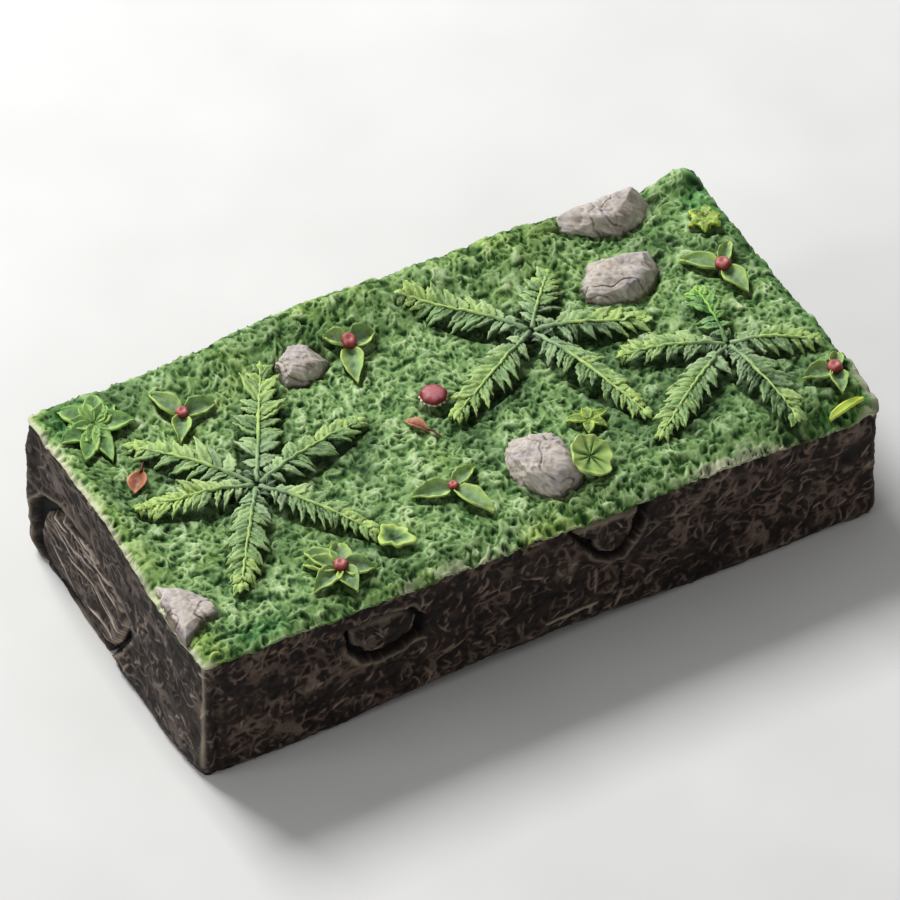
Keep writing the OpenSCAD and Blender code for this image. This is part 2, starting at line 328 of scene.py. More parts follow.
def srgb(code):
    """A linear colour from a hex code."""
    parts = [int(code[i:i + 2], 16) / 255 for i in (1, 3, 5)]
    return tuple(p / 12.92 if p <= 0.04045 else ((p + 0.055) / 1.055) ** 2.4 for p in parts) + (1.0,)


class Painter:
    """Builds one node material around a Principled shader."""

    def __init__(self, name, specular=0.35):
        self.material = bpy.data.materials.new(name)
        self.material.use_nodes = True
        self.tree = self.material.node_tree
        self.shader = next(n for n in self.tree.nodes if n.type == "BSDF_PRINCIPLED")
        self.shader.inputs["Specular IOR Level"].default_value = specular
        self.place = self.node("TexCoord").outputs["Object"]

    def node(self, kind, **settings):
        """A new shader node, with its named sockets set to constants or linked."""
        node = self.tree.nodes.new("ShaderNode" + kind)
        for socket, value in settings.items():
            self.set(node.inputs[socket.replace("_", " ")], value)
        return node

    def set(self, socket, value):
        """Links a socket to another node's output, or sets it to a number or a colour code."""
        if isinstance(value, str):
            socket.default_value = srgb(value)
        elif isinstance(value, (int, float)):
            socket.default_value = value
        else:
            self.tree.links.new(value, socket)

    def field(self, name):
        """A float attribute of the mesh, by name."""
        node = self.node("Attribute")
        node.attribute_name = name
        return node.outputs["Fac"]

    def noise(self, size_mm, detail=3.0):
        """Noise from 0 to 1 with features of about this size."""
        scale = 1 / (size_mm * MM)
        node = self.node("TexNoise", Vector=self.place, Scale=scale, Detail=detail, Roughness=0.6)
        return node.outputs["Fac"]

    def math(self, operation, a, b):
        node = self.node("Math")
        node.operation = operation
        self.set(node.inputs[0], a)
        self.set(node.inputs[1], b)
        return node.outputs[0]

    def jittered(self, value, *grains):
        """A value with noise of each (size, amount) added."""
        for size, amount in grains:
            offset = self.math("SUBTRACT", self.noise(size), 0.5)
            value = self.math("ADD", value, self.math("MULTIPLY", offset, 2 * amount))
        return value

    def ramp(self, value, positions, colours):
        """Colours at positions along a value; the colours are hex codes with spaces between them."""
        node = self.node("ValToRGB", Fac=value)
        elements = node.color_ramp.elements
        while len(elements) < len(positions):
            elements.new(0.5)
        for element, position, code in zip(elements, positions, colours.split()):
            element.position = position
            element.color = srgb(code)
        return node.outputs["Color"]

    def mix(self, share, a, b, mode="MIX"):
        node = self.node("Mix")
        node.data_type = "RGBA"
        node.blend_type = mode
        for socket, value in zip((0, 6, 7), (share, a, b)):
            self.set(node.inputs[socket], value)
        return node.outputs[2]

    def span(self, value, low, high, out_low=0.0, out_high=1.0):
        """A value stretched so that low to high becomes out_low to out_high."""
        limits = {"From_Min": low, "From_Max": high, "To_Min": out_low, "To_Max": out_high}
        return self.node("MapRange", Value=value, **limits).outputs["Result"]

    def finish(self, colour, bump_mm=0.05, bump_size=0.3, rough=(0.55, 0.8)):
        """Sets the colour, a fine grain of bump, and roughness that varies over the surface."""
        bump = self.node("Bump", Distance=bump_mm * MM, Strength=0.6, Height=self.noise(bump_size, 4.0))
        self.set(self.shader.inputs["Base Color"], colour)
        self.set(self.shader.inputs["Roughness"], self.span(self.noise(2.5), 0.3, 0.7, *rough))
        self.set(self.shader.inputs["Normal"], bump.outputs["Normal"])
        return self.material


def stone_paint():
    """Near-black brown in the hollows and light paint brushed over the raised lines."""
    p = Painter("stone_paint", 0.25)
    relief = p.jittered(p.field("relief"), (9.0, 0.10), (2.2, 0.12), (0.7, 0.12))
    brown = p.ramp(relief, (0.10, 0.36, 0.62, 0.92), "#120b09 #2f221c #64544a #a49588")
    ashen = p.ramp(relief, (0.14, 0.38, 0.66, 0.92), "#150f0d #2f2722 #5f554d #a3998f")
    colour = p.mix(p.field("ash"), brown, ashen)
    colour = p.mix(p.span(p.noise(11.0, 2.0), 0.4, 0.7, 0.0, 0.4), colour, "#8a6a54", "MULTIPLY")
    colour = p.mix(p.field("dark"), colour, "#050403")
    colour = p.mix(p.field("light"), colour, "#a0937f")
    return p.finish(colour, 0.08, 0.4, (0.62, 0.88))


def moss_paint():
    """Green-black pits and pale ridges, with warmer, brighter and cream-brushed patches, and painted shade
    beside plants, rocks and ridges.
    """
    p = Painter("moss_paint", 0.22)
    relief = p.jittered(p.field("relief"), (12.0, 0.14), (4.0, 0.10), (1.0, 0.12))
    colour = p.ramp(relief, (0.04, 0.26, 0.53, 0.90), "#21421a #3f632c #77985a #c0d2a4")
    warm = p.ramp(relief, (0.04, 0.26, 0.53, 0.90), "#284a16 #4d6f2b #8ba853 #c6d48c")
    vivid = p.ramp(relief, (0.06, 0.30, 0.65, 0.95), "#102e10 #31632b #639652 #aacb8e")
    colour = p.mix(p.span(p.jittered(p.field("warm"), (8.0, 0.35), (2.5, 0.2)), 0.25, 0.8), colour, warm)
    colour = p.mix(p.span(p.jittered(p.field("vivid"), (4.0, 0.25)), 0.3, 0.8), colour, vivid)
    cream = p.span(p.jittered(p.field("cream"), (2.0, 0.4)), 0.35, 0.9, 0.0, 0.85)
    colour = p.mix(cream, colour, "#bdbf9f")
    # Softer painted shade round the ferns, mixed with random darker patches.
    deep = p.span(p.jittered(p.field("deep"), (3.0, 0.2)), 0.1, 0.9, 0.0, 0.62)
    colour = p.mix(deep, colour, "#4f8068", "MULTIPLY")
    # Painted shade beside plants and rocks and under the ridges.
    return p.finish(p.mix(p.field("dark"), colour, "#162d0c"))


def rock_paint():
    """Pale grey with lilac and tan washes and small dark specks."""
    p = Painter("rock_paint")
    relief = p.jittered(p.field("relief"), (4.0, 0.12), (1.0, 0.10))
    colour = p.ramp(relief, (0.05, 0.26, 0.55, 0.90), "#5d544c #958b82 #b3aaa1 #c6bfb7")
    for size, detail, low, high, most, wash in ((5.0, 3.0, 0.45, 0.72, 0.5, "#a19ba2"),
                                                (3.2, 2.0, 0.52, 0.75, 0.45, "#b39c7e"),
                                                (0.8, 2.0, 0.62, 0.74, 0.4, "#7d746b")):
        colour = p.mix(p.span(p.noise(size, detail), low, high, 0.0, most), colour, wash)
    return p.finish(colour, 0.10, 0.5)


def leaf_paint(name, dark, mid, edge, pale, rough=(0.42, 0.65)):
    """Green with painted shade in the folds and hollows, pale towards the stem, and brightest on rims and
    tips.
    """
    p = Painter(name)
    tone = p.jittered(p.field("edge"), (3.0, 0.16), (0.7, 0.16))
    colour = p.ramp(tone, (0.05, 0.42, 0.85), "%s %s %s" % (dark, mid, edge))
    colour = p.mix(p.span(p.noise(1.6), 0.5, 0.75, 0.0, 0.5), colour, pale)
    colour = p.mix(p.jittered(p.field("pale"), (1.5, 0.15)), colour, pale)
    # Painted shade: darker in creases, hollows and the gaps between leaflets.
    colour = p.mix(p.field("fold"), colour, dark)
    return p.finish(colour, rough=rough)


def berry_paint(name, deep, bright, glint):
    """Red with painted shade low down and a painted highlight on top."""
    p = Painter(name, 0.35)
    tone = p.jittered(p.field("edge"), (1.2, 0.25))
    colour = p.ramp(tone, (0.08, 0.40, 0.72, 0.97), "#26080a %s %s %s" % (deep, bright, glint))
    return p.finish(p.mix(p.field("pale"), colour, "#cfc2a0"), rough=(0.36, 0.6))


# ---------- The roof's ground ----------

FRONT_EDGE = ([-100, -50, 0, 55, 78, 92, 98, 100], [42.4, 41.2, 40.4, 40.0, 38.6, 37.4, 39.8, 41.0])
REAR_BANK = ([-99, -88, -76, -64, -52, -40, -28, -16, -4, 8, 32, 44, 56, 70],
             [3.9, 4.3, 3.1, 3.5, 4.7, 6.0, 6.6, 6.9, 6.7, 5.4, 5.3, 5.3, 3.2, 0.8])
LEFT_BANK = ([-19, -7, 4, 17, 30, 49], [0.5, 2.6, 4.5, 5.0, 4.3, 3.7])
GROUND_Z = MOSS_Z - 0.7
CORNER_MOUND = 3.6


def bank(x, y):
    """How far the ground climbs towards the rear edge and the rear half of the left edge.

    The CAD model has one smooth hill there; this profile is finer.
    """
    rear = np.interp(x, *REAR_BANK) * smooth(29.5, 48, y)
    left = np.interp(y, *LEFT_BANK) * smooth(-30, -15, y) * smooth(-87, -98, x)
    return np.maximum(rear, left)


def roof_base(x, y):
    """Height of the roof's ground before the moss relief is added."""
    z = GROUND_Z + 0.5 * noise2(x, y, 14, 11, 2) + bank(x, y)
    z = z + CORNER_MOUND * np.exp(-(((x - 94) / 6) ** 2 + ((y - 46.5) / 4) ** 2) ** 1.5)
    z = z - (GROUND_Z - np.interp(x, *FRONT_EDGE)) * smooth(-41, -48.8, y)
    z = z - 0.9 * smooth(-96, -100, x) * smooth(-5, -20, y)
    return z - 1.0 * smooth(95.5, 100, x) * (1 + 0.9 * noise2(y, x, 5, 12))


def edge_distance(x, y):
    """Distance inwards from the block's rounded outline."""
    qx = np.abs(x) - (HALF_LENGTH - CORNER)
    qy = np.abs(y) - (HALF_DEPTH - CORNER)
    outside = np.hypot(np.maximum(qx, 0), np.maximum(qy, 0)) + np.minimum(np.maximum(qx, qy), 0)
    return CORNER - outside


def polygon_distance(px, py, polygon):
    """Signed distance to a polygon, negative inside."""
    best = np.full(px.shape, 1e9)
    inside = np.zeros(px.shape, bool)
    for (ax, ay), (bx, by) in zip(polygon, np.roll(polygon, -1, axis=0)):
        ex, ey = bx - ax, by - ay
        t = np.clip(((px - ax) * ex + (py - ay) * ey) / (ex * ex + ey * ey), 0, 1)
        best = np.minimum(best, np.hypot(px - ax - t * ex, py - ay - t * ey))
        crosses = (ay > py) != (by > py)
        inside ^= crosses & (px < ax + (py - ay) * ex / (ey if ey else 1e-9))
    return np.where(inside, -best, best)


def radial_reach(outline, centre, angles, rounds):
    """How far a star-shaped outline lies from its centre in each direction, smoothed some rounds."""
    reach = np.zeros(len(angles))
    dx, dy = np.cos(angles), np.sin(angles)
    for a, b in zip(outline, np.roll(outline, -1, axis=0)):
        ex, ey = b - a
        det = dx * ey - dy * ex
        det = np.where(np.abs(det) < 1e-9, 1e-9, det)
        wx, wy = a - centre
        t = (wx * ey - wy * ex) / det
        k = (wx * dy - wy * dx) / det
        hit = (k >= -1e-6) & (k <= 1 + 1e-6) & (t > 0)
        reach = np.where(hit, np.maximum(reach, t), reach)
    for _ in range(rounds):
        reach = (np.roll(reach, 1) + 2 * reach + np.roll(reach, -1)) / 4
    return reach


# ---------- Stone shell ----------

STONE_WALLS = {
    "front_left_stone": "front", "front_right_stone": "front", "left_end_stone": "left_end",
    "rear_left_stone": "rear", "rear_right_stone": "rear", "right_end_stone": "right_end",
}
SLANTS = (1.1, 0.7, -0.8, 1.5, 0.1)
VEINS = (0.02, 0.12, -0.1, 0.3)
FLARE = ([-49, -44, -36, -5, 4, 40, 49], [0.4, 1.5, 2.0, 2.0, 1.1, 0.9, 1.2])
FLARE_TOP = 26
SCRATCH_X, SCRATCH_Z, SCRATCH_HALF = 7.6, 7.8, 8.5
CRACK_X = 20
POCKET_DEPTH = 3.2
FOOT_NOTCH_Y = 2


def perimeter(spacing):
    """Distance, place and outward direction at points round the block, from its front left corner."""
    half = np.array([HALF_LENGTH - CORNER, HALF_DEPTH - CORNER])
    arc = CORNER * TAU / 4
    total = 4 * (half.sum() + arc)
    count = int(round(total / spacing))
    s = np.arange(count) * total / count
    place, out = np.zeros((count, 2)), np.zeros((count, 2))
    bends = half * [(-1, -1), (1, -1), (1, 1), (-1, 1)]
    start = 0.0
    for side in range(4):
        turn = side * TAU / 4
        length = 2 * half[side % 2]
        flat = (s >= start) & (s < start + length)
        out[flat] = math.sin(turn), -math.cos(turn)
        run = (s[flat] - start)[:, None]
        place[flat] = bends[side] + CORNER * out[flat] + run * [math.cos(turn), math.sin(turn)]
        start += length
        bent = (s >= start) & (s < start + arc)
        angle = turn - TAU / 4 + (s[bent] - start) / CORNER
        out[bent] = np.column_stack([np.cos(angle), np.sin(angle)])
        place[bent] = bends[(side + 1) % 4] + CORNER * out[bent]
        start += arc
    return s, total, *place.T, *out.T


def wall_relief(low, high, seed, wrap=False, headings=SLANTS):
    """Low lumps with thin raised lines over them that curl and cross like worm tracks."""
    relief = Relief(low, high, 0.3, wrap)
    relief.scatter(seed, 0.05, (3, 7), (0.8, 1.4), (0.16, 0.30), 0.8, headings, 0.4)
    relief.scatter(seed + 1, 0.06, (2.5, 6.5), (0.42, 0.75), (0.4, 0.85), 1.2, headings, 0.45)
    relief.scatter(seed + 2, 0.022, (4, 7), (0.28, 0.42), (0.5, 0.9), 2.6)
    relief.scatter(seed + 3, 0.13, (0.8, 2.2), (0.40, 0.85), (0.2, 0.6), 1.0)
    return relief


def web_lines(u, v, seed):
    """Broken, rounded loops of raised line, a few mm across."""
    fine = smooth(0.24, 0.06, np.abs(noise2(u, v, 4.6, seed, 2)))
    other = smooth(0.20, 0.05, np.abs(noise2(u + 0.5 * v, v, 3.4, seed + 1, 2)))
    return np.maximum(fine, 0.85 * other) * np.clip(0.62 + 0.8 * noise2(u, v, 6.5, seed + 2), 0, 1)


def end_flare(y, z):
    """How far the foot of the left end stands out past its top."""
    flare = np.interp(y, *FLARE) * smooth(FLARE_TOP, 0, z)
    return np.maximum(flare, 1.2 * smooth(42, 47, y) * smooth(46, 38, z))


def vault(y):
    """Height of the chamber's curved ceiling."""
    half = HALF_DEPTH - WALL
    radius = (half * half + VAULT_RISE * VAULT_RISE) / (2 * VAULT_RISE)
    return ROOF_Z - ROOF - radius + np.sqrt(radius * radius - np.clip(y, -half, half) ** 2)


def shell_foot(s, x, y, ny, left, rear):
    """Height of the wall's foot: a low arch in front, the mouth behind, and worn places."""
    foot = 0.25 + 0.25 * noise2(s, 0 * s, 7, 21, 2)
    rise = FRONT_ARCH_RISE * np.clip(1 - ((x - FRONT_ARCH_X) / FRONT_ARCH_HALF) ** 2, 0, 1)
    foot = foot + np.where(ny < 0, rise, 0)
    foot = foot + np.where(left, 3.2 * np.exp(-((y - FOOT_NOTCH_Y) / 1.3) ** 4) + 1.2 * hump(y, 40, 1.5), 0)
    worn = np.clip(1 - np.hypot(x + HALF_LENGTH, y - HALF_DEPTH) / 5.5, 0, 1)
    foot = foot + 3.6 * worn ** 1.5
    reach = np.clip(MOUTH_RADIUS ** 2 - (x - MOUTH_X) ** 2, 0, None)
    arch = MOUTH_CROWN - MOUTH_RADIUS + np.sqrt(reach) + 0.5 * noise2(x, 0 * x, 4, 22)
    return np.where(rear & (np.abs(x - MOUTH_X) < MOUTH_HALF), arch, foot)


def make_shell(material):
    """The hollow block: vaulted inside, foot, lined and pocketed walls, and a rim under the moss."""
    s, total, x, y, nx, ny = perimeter(0.45)
    columns, rows = len(s), 96
    on_wall = {"front": ny < -0.99, "rear": ny > 0.99, "left_end": nx < -0.99, "right_end": nx > 0.99}
    front = on_wall["front"]
    foot = shell_foot(s, x, y, ny, on_wall["left_end"], on_wall["rear"])
    top = roof_base(x * 0.995, y * 0.995) - 1.2 + 0.35 * noise2(s, 0 * s, 4, 23, 2)
    z = foot[None, :] + np.linspace(0, 1, rows)[:, None] * (top - foot)[None, :]
    S, X, Y = (np.broadcast_to(v, z.shape) for v in (s, x, y))
    lines = wall_relief((0, 0), (total, 46), 31, wrap=True).at(S, z)
    lines = np.maximum(lines, 0.62 * web_lines(np.where(np.abs(nx) > 0.5, 0.55, 1.0) * S, z, 37))
    bulge = 0.40 * noise2(S, z, 16, 32, 2) + 0.30 * noise2(S, z, 4, 34, 2)

    # A pocket round each side stone.
    depth, dark, light = np.zeros(z.shape), np.zeros(z.shape), np.zeros(z.shape)
    for node, wall in STONE_WALLS.items():
        outline = wall_outline(node, wall)
        along = X if wall in ("front", "rear") else Y
        low, high = outline[:, 0].min() - 4, outline[:, 0].max() + 4
        near = (along > low) & (along < high) & on_wall[wall][None, :]
        distance = np.full(z.shape, 99.0)
        distance[near] = polygon_distance(along[near], z[near], outline)
        distance = distance + 0.30 * noise2(along, z, 3.0, 33)
        depth = np.maximum(depth, POCKET_DEPTH * smooth(1.3, 0.6, distance))
        dark = np.maximum(dark, smooth(1.4, 0.6, distance))
        patchy = smooth(-0.5, 0.3, noise2(along, z, 6, 35))
        light = np.maximum(light, 0.38 * hump(distance, 1.9, 0.45) * patchy)
    # A long scratch low on the front, and a crack down from the right-hand stone.
    away = np.abs(X - SCRATCH_X)
    scratch = hump(z, SCRATCH_Z, 0.36) * smooth(SCRATCH_HALF, SCRATCH_HALF - 1.5, away) * front
    crack = hump(X, CRACK_X + 2.5 * np.sin((z - 5) / 6), 0.5) * smooth(4, 6, z) * smooth(24, 21, z) * front
    # The front left corner: a bright worn edge beside a dark upright groove.
    past_corner = np.minimum(S, total - S) * np.where(S < total / 2, 1, -1)
    groove = hump(past_corner, 0.9, 1.1) * smooth(37, 33, z)
    bright_edge = hump(past_corner, -2.6, 0.55) * smooth(2, 5, z) * (0.7 + 0.4 * noise2(z, 0 * z, 6, 36))
    light = np.clip(light + 1.2 * scratch + 0.7 * bright_edge, 0, 1)
    dark = np.clip(np.maximum(dark, 0.85 * crack) + 0.6 * groove + 0.45 * hump(past_corner, 3.4, 1.0), 0, 1)

    over_foot, under_top = z - foot[None, :], top[None, :] - z
    out = (0.50 * lines + bulge - depth - 0.8 * smooth(2.4, 0, over_foot) - 0.5 * smooth(1.6, 0, under_top)
           - 0.7 * crack + 0.25 * scratch - 0.7 * groove + 0.15 + end_flare(Y, z) * np.clip(-nx, 0, 1))
    walls = [np.stack([x + nx * o, y + ny * o, h], axis=1) for o, h in zip(out, z)]

    def ring(share_x, share_y, height):
        return np.stack([x * share_x, y * share_y, height + 0 * x], axis=1)

    in_x, in_y = 1 - WALL / HALF_LENGTH, 1 - WALL / HALF_DEPTH
    over = [ring(0.992, 0.985, top - 0.5), ring(0.98, 0.96, top - 3.0), ring(0.95, 0.90, ROOF_Z - 1)]
    rim = [ring(0.985, 0.972, foot - 0.1), ring((1 + in_x) / 2, (1 + in_y) / 2, foot - 0.1),
           ring(in_x + 0.005, in_y + 0.01, foot)]
    ceiling = vault(y * in_y)
    inner = []
    for share in np.linspace(0.02, 1, 14):
        height = foot + share * (ceiling - foot)
        swell = (0.7 * noise2(s, height, 5, 40, 2))[:, None]
        inner.append(ring(in_x, in_y, height) + swell * np.stack([nx, ny, 0 * nx], axis=1))
    for share in np.linspace(0.95, 0.06, 16):
        wave = 0.6 * noise2(x * share, y * share, 9, 50, 2)
        inner.append(ring(in_x * share, in_y * share, vault(y * in_y * share) + wave))

    rings = inner[::-1] + rim[::-1] + walls + over
    below, above = (len(inner) + len(rim)) * columns, len(over) * columns

    def whole(values, low_value, high_value):
        return np.concatenate([np.full(below, low_value), values.ravel(), np.full(above, high_value),
                               [high_value, low_value]])

    ash = 0.9 * smooth(0.3, 0.9, np.abs(nx)) * np.ones(z.shape)
    fields = {"relief": whole(0.10 + 0.85 * np.clip(lines, 0, 1), 0.42, 0.2), "dark": whole(dark, 0.25, 0.0),
              "light": whole(light, 0.0, 0.0), "ash": whole(ash, 0.2, 0.0)}
    points, faces = stack(rings, [0, 0, ROOF_Z - 2.5], [0, 0, vault(0.0)])
    add_piece(as_object("stone_block", points, faces, fields), "cave_shell", material)


# ---------- Side stones ----------

def make_side_stone(node, wall, material, seed, bites):
    """A rough stone in its pocket: a light worn rim, a dark groove round it, and raised veins.

    Each bite is a direction, a depth and a width: there the stone falls short of its pocket.
    """
    long_wall = wall in ("front", "rear")
    outline = wall_outline(node, wall)
    centre = outline.mean(axis=0)
    spokes = 260
    angles = np.linspace(0, TAU, spokes, endpoint=False)
    reach = radial_reach(outline, centre, angles, 3)
    reach = reach * 0.975 + 0.3 * noise2(angles * 8, 0 * angles, 3, seed)
    for degrees, depth, width in bites:
        turn = np.angle(np.exp(1j * (angles - math.radians(degrees))))
        reach = reach - depth * hump(turn, 0, width)
    headings = SLANTS if long_wall else VEINS
    lines = wall_relief(outline.min(axis=0) - 3, outline.max(axis=0) + 3, seed, headings=headings)
    if not long_wall:
        lines.scatter(seed + 4, 0.022, (10, 22), (0.40, 0.70), (0.8, 1.2), 0.3, headings, 0.08)
    sign = -1 if wall in ("front", "left_end") else 1
    face = HALF_DEPTH if long_wall else HALF_LENGTH
    rings, relief, dark, light = [], [], [], []
    for k, share in enumerate([1.0, *np.linspace(1.0, 0.04, 46)]):
        u = centre[0] + share * reach * np.cos(angles)
        v = centre[1] + share * reach * np.sin(angles)
        inset = (1 - share) * reach
        rise = np.maximum(lines.at(u, v), 0.5 * web_lines(u, v, seed + 5))
        out = -1.9 + 1.7 * smooth(0, 2.2, inset) + 0.5 * rise + 0.4 * noise2(u, v, 6, seed + 1, 2)
        out = out + (end_flare(u, v) if wall == "left_end" else 0)
        outward = sign * (face + (out if k else -4.0 + 0 * u))
        rings.append(np.stack([u, outward, v] if long_wall else [outward, u, v], axis=1))
        relief.append(0.16 + 0.80 * rise)
        dark.append(smooth(0.35, 0.0, inset) if k else np.ones(spokes))
        worn = hump(inset, 1.0, 0.5) * smooth(-0.6, 0.2, noise2(u, v, 5, seed + 2))
        brow = smooth(4.0, 1.8, outline[:, 1].max() - v) * smooth(0.3, 0.9, inset)
        light.append(0.5 * np.maximum(worn, 1.1 * brow * (node == "front_right_stone")))
    relief.append([relief[-1].mean(), 0.2])
    dark.append([0, 1])
    light.append([0, 0])
    fields = {"relief": relief, "dark": dark, "light": light,
              "ash": [np.full(len(rings) * spokes + 2, 0.25 if long_wall else 0.9)]}
    fields = {key: np.concatenate(parts) for key, parts in fields.items()}
    points, faces = stack(rings, rings[-1].mean(axis=0), rings[0].mean(axis=0), wall in ("rear", "left_end"))
    add_piece(as_object("rough_" + node, points, faces, fields), node, material)


# ---------- Rocks ----------

def make_rock(node, material, seed, cuts=10, squareness=0.36, spread=1.03):
    """A boulder: a squarish mass over its foot, trimmed by slanting planes, cracked and roughened."""
    low, high = corners(node)
    foot = foot_outline(node)
    centre = (foot.min(axis=0) + foot.max(axis=0)) / 2
    spokes, side_layers, layers = 220, 66, 90
    angles = np.linspace(0, TAU, spokes, endpoint=False)
    reach = spread * radial_reach(foot, centre, angles, 2)
    height = high[2] - low[2]
    layer = np.arange(layers)[:, None]
    theta = np.minimum(layer / (side_layers - 1), 1) * 0.96 * TAU / 4
    shrink = np.interp(layer, [side_layers - 1, layers - 1], [1, 0.03])
    share = np.cos(theta) ** squareness * (1 - 0.12 * np.sin(theta)) * shrink * reach
    level = low[2] + height * np.sin(theta) ** 0.85
    cloud = np.stack([centre[0] + share * np.cos(angles), centre[1] + share * np.sin(angles),
                      level + 0 * share], axis=-1)
    rng = np.random.default_rng(seed)
    core = np.array([centre[0], centre[1], low[2] + 0.45 * height])
    for _ in range(cuts):
        direction = rng.normal(0, 1, 3)
        direction[2] = abs(direction[2]) * 0.9 + 0.15
        direction /= np.linalg.norm(direction)
        along = (cloud - core) @ direction
        beyond = np.maximum(along - along.max() * rng.uniform(0.78, 0.94), 0)
        cloud = cloud - beyond[..., None] * direction * 0.94
    flat = cloud.reshape(-1, 3)
    ridged = 0.45 - np.abs(noise3(flat * [1, 1, 1.4], 4.4, seed + 5, 2)) * 1.5
    rough = 0.55 * noise3(flat, 1.6, seed + 7, 2) + 0.45 * noise3(flat, 0.8, seed + 8) + ridged
    crack = smooth(0.07, 0.0, np.abs(noise3(flat, 6.5, seed + 9, 2)))
    rough, crack = rough.reshape(layers, spokes), crack.reshape(layers, spokes)
    away = cloud - core
    away = away / np.linalg.norm(away, axis=-1, keepdims=True)
    cloud = cloud + away * (0.5 * rough - 0.30 * crack)[..., None]
    # How far each place bulges out past the places a few steps away. Hollows are painted darker.
    step = 3
    beside = (np.roll(cloud, step, axis=1) + np.roll(cloud, -step, axis=1)) / 2
    padded = np.concatenate([cloud[:1]] * step + [cloud] + [cloud[-1:]] * step)
    above = (padded[:layers] + padded[2 * step:]) / 2
    bulging = ((cloud - (beside + above) / 2) * away).sum(axis=-1) / 0.35
    bulging = bulging * smooth(0.08, 0.40, share / reach)
    relief = np.clip(0.52 + 0.22 * bulging + 0.24 * rough - 0.26 * crack, 0, 1)
    # Darker towards the foot, where the rock goes into the moss: painted shade.
    relief = relief * smooth(-1.4, 0.4, cloud[..., 2] - MOSS_Z)
    cloud[..., 2] = np.clip(cloud[..., 2], low[2], high[2] + 0.3)
    cloud[..., 0] = np.clip(cloud[..., 0], -HALF_LENGTH - 0.3, None)
    cloud[..., 1] = np.clip(cloud[..., 1], None, HALF_DEPTH + 0.3)
    points, faces = stack(cloud, cloud[-1].mean(axis=0), [*centre, low[2]])
    fields = {"relief": np.append(relief.ravel(), [relief[-1].mean(), 0.2])}
    add_piece(as_object("rough_" + node, points, faces, fields), node, material)


# ---------- Leaves ----------

def turned(points, place, heading, pitch=0.0, roll=0.0):
    """Rolls a shape about its length, pitches its tip up, turns it to a heading, and moves it."""
    c, s = math.cos(roll), math.sin(roll)
    points = points @ np.array([[1, 0, 0], [0, c, s], [0, -s, c]])
    c, s = math.cos(pitch), math.sin(pitch)
    points = points @ np.array([[c, 0, s], [0, 1, 0], [-s, 0, c]])
    c, s = math.cos(heading), math.sin(heading)
    return points @ np.array([[c, s, 0], [-s, c, 0], [0, 0, 1]]) + np.asarray(place)


def blade(place, heading, length, width, rows, columns, pitch=0.0, roll=0.0, lift=0.0, droop=0.0,
          cup=0.0, rim=0.0, groove=0.0, ribs=0.0, teeth=0.0, thick=0.5, belly=0.75, point=0.9):
    """One closed leaf, then for each point its nearness to the edge, its painted shade along the middle
    crease, and its share along.
    """
    a = np.linspace(0, 1, rows)[:, None] + np.zeros((1, columns))
    b = np.linspace(-1, 1, columns)[None, :] + np.zeros((rows, 1))
    half = width / 2 * np.sin(math.pi * np.clip(a, 0.012, 0.985) ** belly) ** point
    half = half * (1 - teeth * np.abs(b) * np.mod(4.0 * a, 1.0))
    z = lift * np.sin(math.pi * a) - droop * a * a + cup * (b * b - 0.4) * np.sin(math.pi * a) ** 0.5
    z = z + rim * smooth(0.5, 0.9, np.abs(b)) * smooth(0.0, 0.15, a) * smooth(1.0, 0.8, a)
    z = z - groove * hump(b, 0, 0.18) * (1 - a)
    z = z + ribs * np.sin(TAU * (5 * a - 1.2 * np.abs(b))) * (1 - b * b)
    points, faces = slab(np.stack([length * a, half * b, z], axis=-1), thick)
    edge = np.maximum(np.abs(b) ** 2, smooth(0.75, 1.0, a))
    fold = hump(b, 0, 0.2) * (1 - 0.7 * a)
    shape = turned(points, place, heading, pitch, roll), faces
    return shape, *[np.tile(field.ravel(), 2) for field in (edge, fold, a)]


def tube(path, radii, sides=8):
    """A closed tapering tube along a path."""
    path = np.asarray(path, float)
    ahead = np.gradient(path, axis=0)
    ahead /= np.linalg.norm(ahead, axis=1)[:, None]
    across = np.cross(ahead, [0, 0, 1.0] if abs(ahead[0, 2]) < 0.9 else [1.0, 0, 0])
    across /= np.linalg.norm(across, axis=1)[:, None]
    angles = np.linspace(0, TAU, sides, endpoint=False)[:, None]
    rings = [p + r * (np.cos(angles) * a + np.sin(angles) * u)
             for p, r, a, u in zip(path, radii, across, np.cross(across, ahead))]
    count = len(path) * sides
    faces = flipped(grid_faces(len(path), sides, closed=True))
    return np.concatenate(rings), faces + [list(range(sides)), list(range(count - sides, count))[::-1]]


def post(x, y, heights, radii, sides):
    """An upright peg through these heights."""
    return tube([[x, y, z] for z in heights], radii, sides)


def polar(x, y, reach, angle, z):
    """The point at a height that lies some way out from (x, y)."""
    return [x + reach * math.cos(angle), y + reach * math.sin(angle), z]


# ---------- Ferns ----------

# Each frond is a heading in degrees, a length and a breadth.
FERNS = {
    "left": [(60, 43, 12), (12, 37, 10), (-59, 36, 9), (-124, 38, 10), (170, 32, 9), (127, 37, 11)],
    "middle": [(132, 37, 11), (51, 23, 10), (-23, 31, 10), (-76, 44, 9), (-148, 38, 10)],
    "right": [(157, 29, 9), (-148, 39, 10), (-86, 33, 11), (-23, 24, 9), (81, 23, 8)],
}
FROND_TONES = {"left_frond_5": 0.46, "right_frond_3": -0.26, "left_frond_6": 0.05}
LEAFLET = {"lift": 0.35, "cup": -0.25, "groove": 0.6, "ribs": 0.16, "teeth": 0.34, "thick": 0.6,
           "belly": 0.50, "point": 0.85, "rows": 15, "columns": 9}
FRONT_SIDE = np.array([-0.486, -0.874])
FIRST_LEAFLET, LEAFLET_SPAN = 0.15, 0.79


def facing_front(heading):
    """How far the left side of something with this heading faces the block's front left."""
    return float(np.array([-math.sin(heading), math.cos(heading)]) @ FRONT_SIDE)


